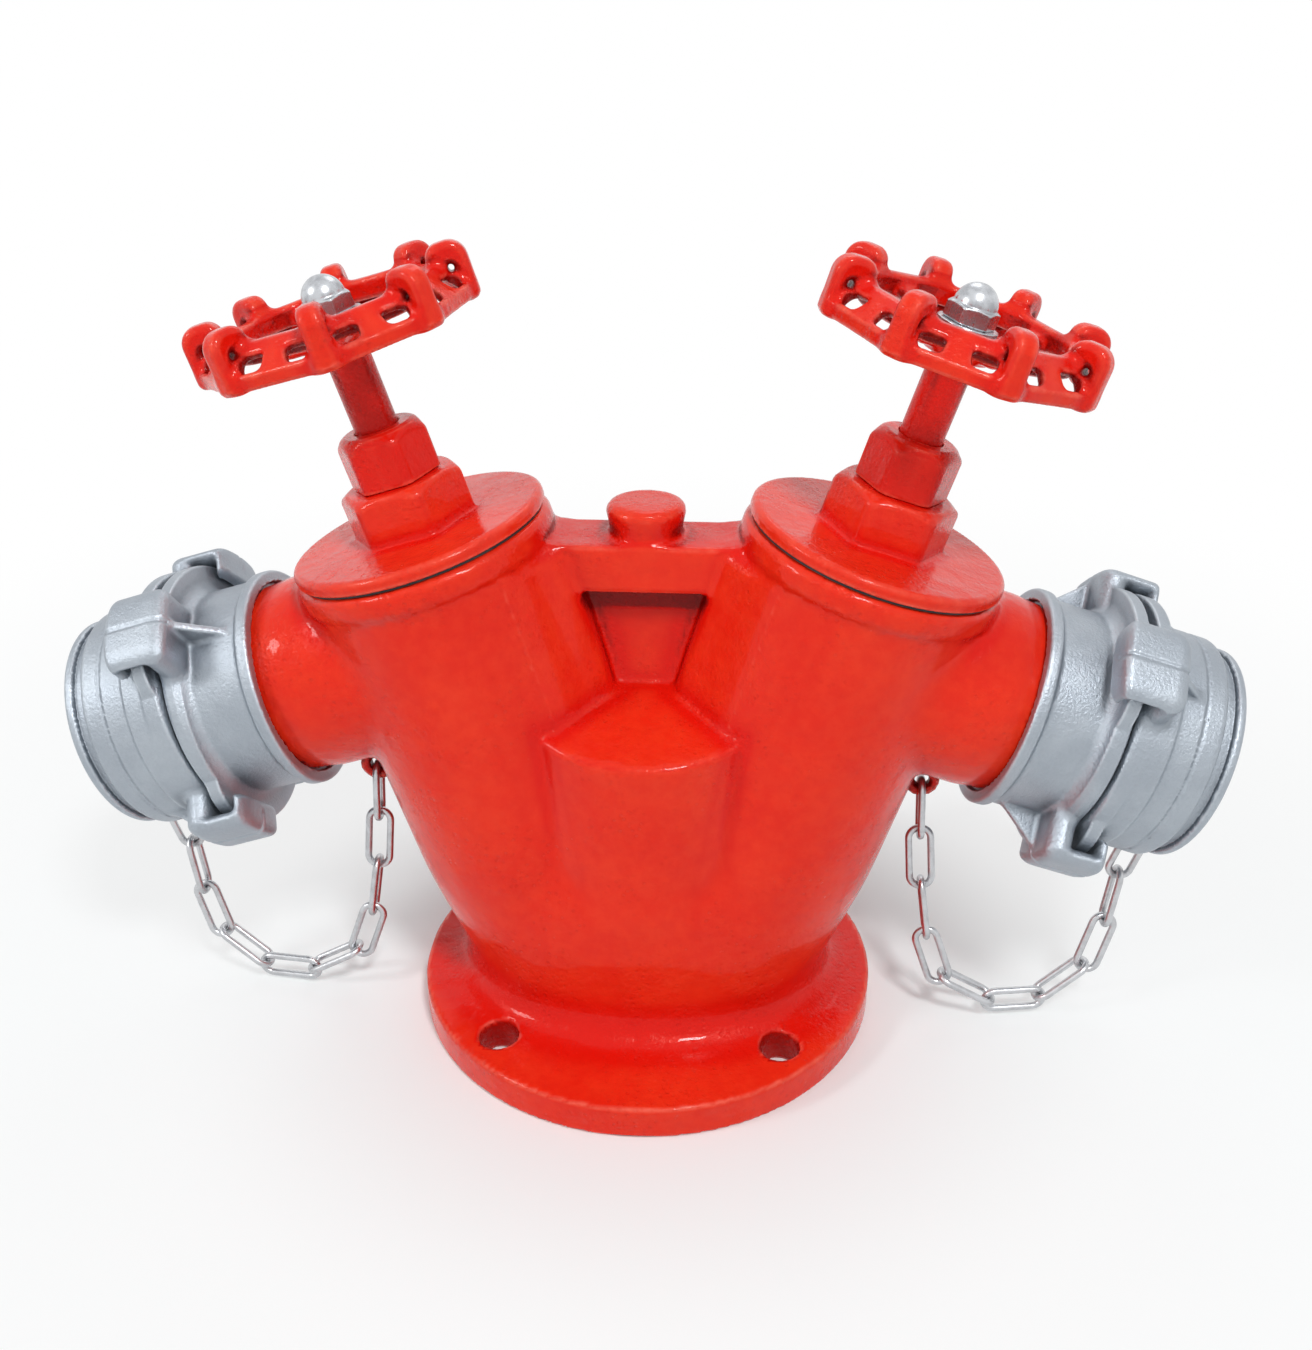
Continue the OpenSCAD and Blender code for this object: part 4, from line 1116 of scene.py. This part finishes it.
@dataclass(frozen=True)
class DomedNut(Piece):
    """The bright domed nut on the stem's stud."""

    foot: float = 341.4
    across: float = 19.0
    hex_h: float = 7.0
    dome_r: float = 8.9
    chamfer_r: tuple[float, float] = (9.5, 10.3)

    def shape(self, p: Array) -> Array:
        """Distance to the nut.

        Args:
            p: points in its barrel's frame.

        Returns:
            The distances.
        """
        x, y, z = p[:, 0], p[:, 1], p[:, 2] - self.foot
        rho = np.hypot(x, y)
        nut = blend_max(hexagon(x, y, self.across, 0.6), np.abs(z - self.hex_h / 2) - self.hex_h / 2, 0.5)
        top_r, foot_r = self.chamfer_r
        chamfer = np.maximum(rho - top_r - 1.73 * (self.hex_h - z), rho - foot_r - 1.73 * z) / 2.0
        nut = blend_max(nut, chamfer, 0.3)
        dome = np.maximum(np.sqrt(rho ** 2 + (z - self.hex_h) ** 2) - self.dome_r, self.hex_h - 2.0 - z)
        return np.maximum(blend_min(nut, dome, 0.8), -np.maximum(rho - 5.0, z - 7.4))

    def build(self) -> Skin:
        """Draws one nut."""
        return self.drawn(13.0, 339.0, 360.0, 0.42)


@dataclass(frozen=True)
class Washer(Piece):
    """The flat washer under the domed nut."""

    foot: float = 339.5
    thick: float = 1.9
    inner_r: float = 5.1
    outer_r: float = 12.6

    def shape(self, p: Array) -> Array:
        """Distance to the washer.

        Args:
            p: points in its barrel's frame.

        Returns:
            The distances.
        """
        off_middle = np.abs(np.hypot(p[:, 0], p[:, 1]) - (self.outer_r + self.inner_r) / 2)
        off_level = np.abs(p[:, 2] - self.foot - self.thick / 2)
        return blend_max(off_middle - (self.outer_r - self.inner_r) / 2, off_level - self.thick / 2, 0.5)

    def build(self) -> Skin:
        """Draws one washer."""
        return self.drawn(14.5, 337.5, 343.5, 0.45)


# ---------------------------------------------------------------- finishes

class Slot(Enum):
    """The finishes that the record names."""

    ENAMEL = "red_paint"
    ALUMINIUM = "cast_aluminium"
    CHROME = "chrome_nut"
    ZINC = "zinc_steel"
    BRONZE = "bronze"
    RUBBER = "black_rubber"
    GRAPHITE = "graphite_packing"


class Value:
    """A shader value that can be reckoned with: each operator adds a Math node."""

    def __init__(self, nodes: "Nodes", socket: bpy.types.NodeSocket) -> None:
        """Wraps an output socket."""
        self.nodes = nodes
        self.socket = socket

    def math(self, operation: str, *values: "Value | float") -> "Value":
        """Adds a Math node on this value and others."""
        node = self.nodes.node("ShaderNodeMath", {"operation": operation}, dict(enumerate((self, *values))))
        return Value(self.nodes, node.outputs[0])

    def __add__(self, other: "Value | float") -> "Value":
        """This value plus another."""
        return self.math("ADD", other)

    __radd__ = __add__

    def __mul__(self, other: "Value | float") -> "Value":
        """This value times another."""
        return self.math("MULTIPLY", other)

    __rmul__ = __mul__

    def __sub__(self, other: "Value | float") -> "Value":
        """This value less another."""
        return self.math("SUBTRACT", other)

    def __rsub__(self, other: float) -> "Value":
        """A number less this value."""
        return (self * -1.0) + other

    def ramp(self, low: float, high: float) -> "Value":
        """Rises smoothly from 0 to 1.

        Args:
            low: where it starts.
            high: where it ends.

        Returns:
            The new value.
        """
        node = self.nodes.node("ShaderNodeMapRange", {"interpolation_type": "SMOOTHSTEP"},
                               {"Value": self, "From Min": low, "From Max": high})
        return Value(self.nodes, node.outputs[0])


Input = Value | bpy.types.NodeSocket | float | tuple


class Nodes:
    """A node tree under construction."""

    def __init__(self, tree: bpy.types.NodeTree) -> None:
        """Empties the tree."""
        self.tree = tree
        tree.nodes.clear()

    def node(self, kind: str, settings: dict[str, object] | None = None,
             values: dict[str | int, Input] | None = None) -> bpy.types.Node:
        """Adds a node.

        Args:
            kind: the node's type.
            settings: its own settings, set first.
            values: values or links of its sockets, by name or number.

        Returns:
            The node.
        """
        node = self.tree.nodes.new(kind)
        for key, value in (settings or {}).items():
            setattr(node, key, value)
        for key, value in (values or {}).items():
            self.feed(node.inputs[key], value)
        return node

    def feed(self, socket: bpy.types.NodeSocket, value: Input) -> None:
        """Links a value to an input socket, or sets the socket to a plain value.

        Args:
            socket: the input socket.
            value: what it gets.
        """
        if isinstance(value, Value):
            value = value.socket
        if isinstance(value, bpy.types.NodeSocket):
            self.tree.links.new(value, socket)
        else:
            socket.default_value = value

    def seen(self) -> Value:
        """Tells the rays that show a thing from those that light others.

        Returns:
            1 on rays from the camera, off gloss or through glass, and 0 on the rest.
        """
        path = self.node("ShaderNodeLightPath").outputs
        kinds = ("Camera", "Glossy", "Transmission")
        camera, gloss, through = (Value(self, path[f"Is {kind} Ray"]) for kind in kinds)
        return camera.math("MAXIMUM", gloss).math("MAXIMUM", through)


class Shader(Nodes):
    """Builds one procedural material around a Principled shader."""

    def __init__(self, name: str) -> None:
        """Starts an empty material.

        Args:
            name: its name.
        """
        self.material = bpy.data.materials.new(name)
        self.material.use_nodes = True
        super().__init__(self.material.node_tree)
        self.principled = self.node("ShaderNodeBsdfPrincipled")
        self.output = self.node("ShaderNodeOutputMaterial", None, {"Surface": self.principled.outputs[0]})
        self.coords = self.node("ShaderNodeTexCoord").outputs["Object"]

    def noise(self, size: float, detail: float = 2.0, rough: float = 0.5, warp: float = 0.0,
              stretch: Triple = (1.0, 1.0, 1.0)) -> Value:
        """Soft noise.

        Args:
            size: about how wide its blobs are, in millimetres.
            detail: how many finer layers it has.
            rough: how strong those are.
            warp: how much it swirls.
            stretch: scale along each axis.

        Returns:
            The noise, about 0.5.
        """
        place = self.node("ShaderNodeMapping", None, {"Vector": self.coords, "Scale": stretch}).outputs[0]
        node = self.node("ShaderNodeTexNoise", None, {"Vector": place, "Scale": 1000.0 / size, "Detail": detail,
                                                      "Roughness": rough, "Distortion": warp})
        return Value(self, node.outputs["Fac"])

    def cells(self, size: float, feature: str = "F1") -> Value:
        """Distance to scattered points.

        Args:
            size: about how far apart they are, in millimetres.
            feature: which of the points counts.

        Returns:
            The distance, in sizes.
        """
        node = self.node("ShaderNodeTexVoronoi", {"feature": feature},
                         {"Vector": self.coords, "Scale": 1000.0 / size})
        return Value(self, node.outputs["Distance"])

    def mark(self, name: str) -> Value:
        """A value that the mesh keeps for each of its points."""
        return Value(self, self.node("ShaderNodeAttribute", {"attribute_name": name}).outputs["Fac"])

    def blend(self, factor: Input, a: Input, b: Input) -> bpy.types.NodeSocket:
        """Mixes two colours."""
        pair = {6: self.colour(a), 7: self.colour(b)}
        return self.node("ShaderNodeMix", {"data_type": "RGBA"}, {0: factor, **pair}).outputs[2]

    @staticmethod
    def colour(value: Input) -> Input:
        """Gives a plain colour its alpha."""
        return (*value, 1.0) if isinstance(value, tuple) and len(value) == 3 else value

    def bump(self, height: Value, depth: float, under: bpy.types.NodeSocket | None = None) -> bpy.types.NodeSocket:
        """Raises the surface.

        Args:
            height: how high each place is, about 0 to 1.
            depth: millimetres for a height of 1.
            under: a normal that this relief lies on.

        Returns:
            The new normal.
        """
        values: dict[str | int, Input] = {"Height": height, "Distance": depth * METRE, "Strength": 1.0}
        if under is not None:
            values["Normal"] = under
        return self.node("ShaderNodeBump", None, values).outputs[0]

    def finish(self, **values: Input) -> bpy.types.Material:
        """Sets the Principled shader's sockets.

        Args:
            values: the sockets' values by name, with _ for a space.

        Returns:
            The finished material.
        """
        for key, value in values.items():
            self.feed(self.principled.inputs[key.replace("_", " ")], self.colour(value))
        return self.material


@dataclass(frozen=True)
class Enamel:
    """Thick gloss red enamel that has run over sand-cast iron."""

    colour: Triple = (0.80, 0.019, 0.006)
    bright: Triple = (0.88, 0.044, 0.012)
    rich: Triple = (0.74, 0.006, 0.002)
    deep: Triple = (0.24, 0.002, 0.002)
    # painted highlight colour for sharp edges
    rim: Triple = (0.94, 0.15, 0.095)
    grime: Triple = (0.12, 0.008, 0.006)
    sheen: Triple = (1.0, 0.42, 0.34)
    grain_mm: float = 2.1
    grain_depth: float = 0.40
    ripple_mm: float = 14.0
    ripple_depth: float = 0.9

    def build(self, name: str) -> bpy.types.Material:
        """Mixes tones, paints shade into corners and hollows, paints highlights on sharp edges and grains it with
        sand marks.

        Args:
            name: the material's name.

        Returns:
            The material.
        """
        sh = Shader(name)
        hollow, edge = sh.mark("hollow"), sh.mark("edge")
        patches = sh.noise(46.0, 3.0, 0.55).ramp(0.35, 0.68)
        mottle = sh.noise(6.5, 3.0, 0.6).ramp(0.32, 0.72)
        grain = sh.noise(self.grain_mm, 3.0, 0.62)
        pits = sh.cells(3.4).ramp(0.16, 0.34)
        sand = sh.noise(30.0, 2.0, 0.5).ramp(0.38, 0.62)
        tone = sh.blend(mottle * 0.35 + patches * 0.35, self.colour, self.bright)
        # painted shade: corners and hollows turn a deeper, more saturated red
        tone = sh.blend(hollow.ramp(0.02, 0.30) * 0.9, tone, self.rich)
        # painted shade: the deepest hollows, the pocket under the web's head and the stem under the wheel go dark red
        tone = sh.blend(hollow.ramp(0.38, 0.74) * 0.90, tone, self.deep)
        # cast pits, darkened where the sand pattern is strong
        tone = sh.blend((1.0 - pits) * sand * 0.08, tone, self.deep)
        specks = sh.noise(3.0, 2.0, 0.7).ramp(0.66, 0.74) * hollow.ramp(0.45, 0.9)
        tone = sh.blend(specks * 0.12, tone, self.grime)
        # painted highlight: sharp edges turn a light pinkish red
        tone = sh.blend(edge.ramp(0.12, 0.60) * (mottle * 0.45 + 0.30), tone, self.rim)
        rasp = hollow.ramp(0.25, 0.7)
        height = grain * (sand * 0.75 + rasp * 1.8 + 0.5) + pits * (sand * 0.4 + rasp * 0.5)
        normal = sh.bump(height, self.grain_depth)
        normal = sh.bump(sh.noise(self.ripple_mm, 2.0, 0.5), self.ripple_depth, normal)
        rough = 0.15 + mottle * 0.09 + (1.0 - pits) * sand * 0.08 + hollow * 0.14
        return sh.finish(Base_Color=tone, Roughness=rough, Normal=normal, Coat_Weight=0.22, Coat_Roughness=0.04,
                         Specular_IOR_Level=0.20, Specular_Tint=self.sheen)


@dataclass(frozen=True)
class CastAluminium:
    """Satin die-cast aluminium, with painted shade in its corners and rubbed bright along its edges."""

    colour: Triple = (0.36, 0.40, 0.45)
    bright: Triple = (0.47, 0.515, 0.56)
    # painted shade colour for corners and hollows
    dull: Triple = (0.10, 0.115, 0.135)
    rubbed: Triple = (0.60, 0.65, 0.70)
    metal: float = 0.78

    def build(self, name: str) -> bpy.types.Material:
        """Mixes cast mottling, painted shade in the corners and rubbed edges.

        Args:
            name: the material's name.

        Returns:
            The material.
        """
        sh = Shader(name)
        hollow, edge = sh.mark("hollow"), sh.mark("edge")
        clouds = sh.noise(22.0, 3.0, 0.6).ramp(0.32, 0.70)
        fine = sh.noise(1.3, 3.0, 0.65)
        flow = sh.noise(7.0, 2.0, 0.55, 1.2)
        scratch = sh.noise(1.1, 2.0, 0.5, 0.0, (1.0, 0.12, 1.0)).ramp(0.62, 0.75)
        tone = sh.blend(clouds * 0.5 + fine.ramp(0.3, 0.8) * 0.3, self.colour, self.bright)
        # painted shade: corners and hollows go dark blue-grey
        tone = sh.blend(hollow.ramp(0.22, 0.90) * 0.62, tone, self.dull)
        tone = sh.blend(edge.ramp(0.20, 0.80) * 0.6, tone, self.rubbed)
        rough = 0.34 + fine * 0.14 + clouds * 0.07 + hollow * 0.12 - edge * 0.06 - scratch * 0.05
        normal = sh.bump(fine * 1.3 + flow * 0.6, 0.26)
        return sh.finish(Base_Color=tone, Roughness=rough, Metallic=self.metal, Normal=normal)


@dataclass(frozen=True)
class Plate:
    """Plated or polished metal with faint wear and painted shade in its hollows: chrome on nuts, zinc on wire, turned
    bronze.
    """

    colour: Triple
    worn: Triple
    roughness: float
    grain_mm: float
    grain_depth: float

    def build(self, name: str) -> bpy.types.Material:
        """Mixes a cloudy tarnish and painted shade in the hollows with a fine grain.

        Args:
            name: the material's name.

        Returns:
            The material.
        """
        sh = Shader(name)
        clouds = sh.noise(5.0, 3.0, 0.6).ramp(0.35, 0.7)
        fine = sh.noise(self.grain_mm, 2.0, 0.6)
        # cloudy tarnish, and painted shade where the mesh is hollow
        tone = sh.blend(clouds * 0.45 + sh.mark("hollow") * 0.5, self.colour, self.worn)
        rough = self.roughness + clouds * (0.35 * self.roughness) + fine * (0.3 * self.roughness)
        return sh.finish(Base_Color=tone, Roughness=rough, Metallic=1.0, Normal=sh.bump(fine, self.grain_depth))


@dataclass(frozen=True)
class Matt:
    """Rubber or plaited graphite: dark, dull and a little dusty."""

    colour: Triple
    dust: Triple
    grain_mm: float
    grain_depth: float

    def build(self, name: str) -> bpy.types.Material:
        """Mixes dust over a fine grain.

        Args:
            name: the material's name.

        Returns:
            The material.
        """
        sh = Shader(name)
        grain = sh.noise(self.grain_mm, 2.0, 0.6)
        dusty = sh.noise(9.0, 3.0, 0.6).ramp(0.45, 0.75)
        return sh.finish(Base_Color=sh.blend(dusty * 0.5, self.colour, self.dust), Roughness=0.62 + grain * 0.2,
                         Normal=sh.bump(grain, self.grain_depth))


Finish = Enamel | CastAluminium | Plate | Matt
FINISHES: dict[Slot, Finish] = {
    Slot.ENAMEL: Enamel(),
    Slot.ALUMINIUM: CastAluminium(),
    Slot.CHROME: Plate((0.62, 0.64, 0.67), (0.16, 0.16, 0.18), 0.20, 0.9, 0.03),
    Slot.ZINC: Plate((0.60, 0.61, 0.63), (0.36, 0.36, 0.37), 0.26, 0.7, 0.06),
    Slot.BRONZE: Plate((0.62, 0.44, 0.20), (0.30, 0.18, 0.08), 0.34, 0.8, 0.05),
    Slot.RUBBER: Matt((0.022, 0.022, 0.022), (0.07, 0.065, 0.06), 0.8, 0.05),
    Slot.GRAPHITE: Matt((0.08, 0.08, 0.085), (0.16, 0.16, 0.16), 1.6, 0.25),
}
KEPT = {
    Slot.BRONZE: ("seat_ring", "valve_disc", "seal_plate", "seal_nut", "stem_lock", "gland_ring"),
    Slot.RUBBER: ("disc_seal", "bonnet_gasket", "inlet_gasket", "coupling_seal", "cap_seal"),
    Slot.GRAPHITE: ("packing",),
    Slot.ZINC: ("cap_lock_wire", "chain"),
}


# ---------------------------------------------------------------- assembly and studio

@dataclass(frozen=True)
class Connection:
    """All the pieces, with the finish, the body and the nodes of each."""

    body: BodyCasting = field(default_factory=BodyCasting)
    wheel: Handwheel = field(default_factory=Handwheel)

    def dress(self, obj: bpy.types.Object, slot: Slot, group: str, *nodes: str) -> None:
        """Gives a piece its finish, its body and the nodes that it stands for.

        Args:
            obj: the piece.
            slot: its finish.
            group: the body that it moves with.
            nodes: the solids that it replaces.
        """
        obj.data.materials.clear()
        obj.data.materials.append(self.material(slot))
        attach(obj, group)
        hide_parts(*nodes)

    @staticmethod
    def material(slot: Slot) -> bpy.types.Material:
        """The slot's material, built once."""
        name = f"finish_{slot.value}"
        return bpy.data.materials.get(name) or FINISHES[slot].build(name)

    def build(self) -> None:
        """Draws every new piece once and places it on both sides."""
        self.dress(self.body.build(), Slot.ENAMEL, "casing", "body")
        rows = (
            ("handwheel", self.wheel.build(), self.wheel.place, Slot.ENAMEL, "spindle_group_{}"),
            ("bonnet", Bonnet().build(), LAYOUT.barrel, Slot.ENAMEL, "casing"),
            ("gland_nut", GlandNut().build(), LAYOUT.barrel, Slot.ENAMEL, "casing"),
            ("stem", Stem().build(), lambda side: LAYOUT.barrel(side).lifted(0.0, self.wheel.turn),
             Slot.ENAMEL, "spindle_group_{}"),
            ("acorn_nut", DomedNut().build(), LAYOUT.barrel, Slot.CHROME, "spindle_group_{}"),
            ("wheel_washer", Washer().build(), LAYOUT.barrel, Slot.CHROME, "spindle_group_{}"),
            ("coupling", Coupling().build(), lambda side: LAYOUT.inlet(side).lifted(0.0, LAYOUT.claw(side)),
             Slot.ALUMINIUM, "casing"),
            ("cap_ring", CapRing().build(),
             lambda side: LAYOUT.inlet(side).lifted(0.0, LAYOUT.claw(side) + LAYOUT.lock_angle),
             Slot.ALUMINIUM, "ring_group_{}"),
            ("cap_plug", CapPlug().build(), LAYOUT.inlet, Slot.ALUMINIUM, "plug_group_{}"),
        )
        for kind, skin, place, slot, group in rows:
            for side in Side:
                piece = put(f"{kind}_skin_{side.word}", skin, place(side))
                self.dress(piece, slot, group.format(side.word), f"{kind}_{side.word}")

    def keep(self) -> None:
        """Gives the carried-over nodes their finishes."""
        for slot, kinds in KEPT.items():
            for kind in kinds:
                for side in Side:
                    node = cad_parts[f"{kind}_{side.word}"]
                    node.data.materials.clear()
                    node.data.materials.append(self.material(slot))
                    LOG.info("%s keeps its solid", node.name)


@dataclass(frozen=True)
class Studio:
    """Camera, lamps, world and the pale sweep that the connection stands on."""

    eye: Triple = (0.037763, -0.563553, 0.456395)
    look: Triple = (-0.05318, 0.88943, -0.45396)
    lens: float = 38.166
    pale: Triple = (0.88, 0.93, 0.935)
    aim: Triple = (0.0, 0.0, 0.15)
    world_light: float = 0.34
    lamps: tuple[tuple[str, Triple, float, float], ...] = (
        ("key", (0.5, -1.1, 1.8), 0.34, 21.0),
        ("fill", (-1.5, -0.7, 1.2), 0.40, 9.0),
        ("rear", (0.2, 1.2, 1.7), 0.8, 3.5),
    )

    def camera(self) -> None:
        """Sets the camera."""
        data = bpy.data.cameras.new("camera")
        data.lens, data.sensor_width, data.clip_start = self.lens, 36.0, 0.01
        obj = bpy.data.objects.new("camera", data)
        obj.location = self.eye
        obj.rotation_euler = mathutils.Vector(self.look).to_track_quat("-Z", "Y").to_euler()
        bpy.context.scene.collection.objects.link(obj)
        bpy.context.scene.camera = obj

    def lamp(self, name: str, place: Triple, size: float, watts: float) -> None:
        """Hangs a square soft lamp that points at the connection.

        Args:
            name: the lamp's name.
            place: where it hangs, in metres.
            size: its side, in metres.
            watts: its power.
        """
        data = bpy.data.lights.new(name, "AREA")
        data.size, data.energy = size, watts
        obj = bpy.data.objects.new(name, data)
        obj.location = place
        way = mathutils.Vector(self.aim) - mathutils.Vector(place)
        obj.rotation_euler = way.to_track_quat("-Z", "Y").to_euler()
        bpy.context.scene.collection.objects.link(obj)

    def sweep(self) -> bpy.types.Object:
        """A floor that curves up into a backdrop.

        Formula: a profile of a straight floor, a quarter circle and a straight wall is
        carried along x as a grid.

        Returns:
            The floor.
        """
        t = np.linspace(0.0, math.pi / 2, 16)
        radius, back = 1600.0, 1500.0
        y = np.concatenate([[-6000.0, -2000.0, 0.0], back + radius * np.sin(t), [back + radius]])
        z = np.concatenate([[0.0, 0.0, 0.0], radius * (1 - np.cos(t)), [6000.0]])
        x = np.linspace(-7000.0, 7000.0, 9)
        points = np.stack([np.tile(x, len(y)), np.repeat(y, len(x)), np.repeat(z, len(x)) - 0.05], 1)
        i, j = np.meshgrid(np.arange(len(y) - 1), np.arange(len(x) - 1), indexing="ij")
        a = (i * len(x) + j).ravel()
        faces = np.stack([a, a + 1, a + len(x) + 1, a + len(x)], 1)
        obj = write_mesh("floor", points, faces)
        sh = Shader("floor_paper")
        sh.finish(Base_Color=sh.blend(sh.noise(400.0), self.pale, tuple(c * 1.02 for c in self.pale)), Roughness=0.9,
                  Specular_IOR_Level=0.0)
        away = Value(sh, sh.node("ShaderNodeVectorMath", {"operation": "LENGTH"}, {0: sh.coords}).outputs["Value"])
        white = sh.node("ShaderNodeEmission", None, {"Color": (1.0, 1.0, 1.0, 1.0), "Strength": 1.0})
        share = sh.seen() * (away.ramp(0.09, 0.24) * 0.64 + away.ramp(0.2, 0.8) * 0.28 + 0.08)
        paper = sh.node("ShaderNodeMixShader", None, {0: share, 1: sh.principled.outputs[0], 2: white.outputs[0]})
        sh.tree.links.new(paper.outputs[0], sh.output.inputs["Surface"])
        obj.data.materials.append(sh.material)
        return obj

    def world(self) -> None:
        """Soft even light, which the camera and reflections see as plain white."""
        world = bpy.data.worlds.new("daylight")
        world.use_nodes = True
        sky = Nodes(world.node_tree)
        strength = sky.seen() * (1.0 - self.world_light) + self.world_light
        light = sky.node("ShaderNodeBackground", None, {"Color": (1.0, 1.0, 1.0, 1.0), "Strength": strength})
        sky.node("ShaderNodeOutputWorld", None, {"Surface": light.outputs[0]})
        bpy.context.scene.world = world

    def build(self) -> None:
        """Sets the whole studio."""
        self.camera()
        self.sweep()
        self.world()
        for lamp in self.lamps:
            self.lamp(*lamp)
        bpy.context.scene.view_settings.view_transform = "Standard"


def main() -> None:
    """Builds the studio and the connection."""
    logging.basicConfig(level=logging.INFO, format="%(name)s: %(message)s")
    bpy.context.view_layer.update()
    Studio().build()
    connection = Connection()
    connection.build()
    connection.keep()


if __name__ == "__main__":
    main()
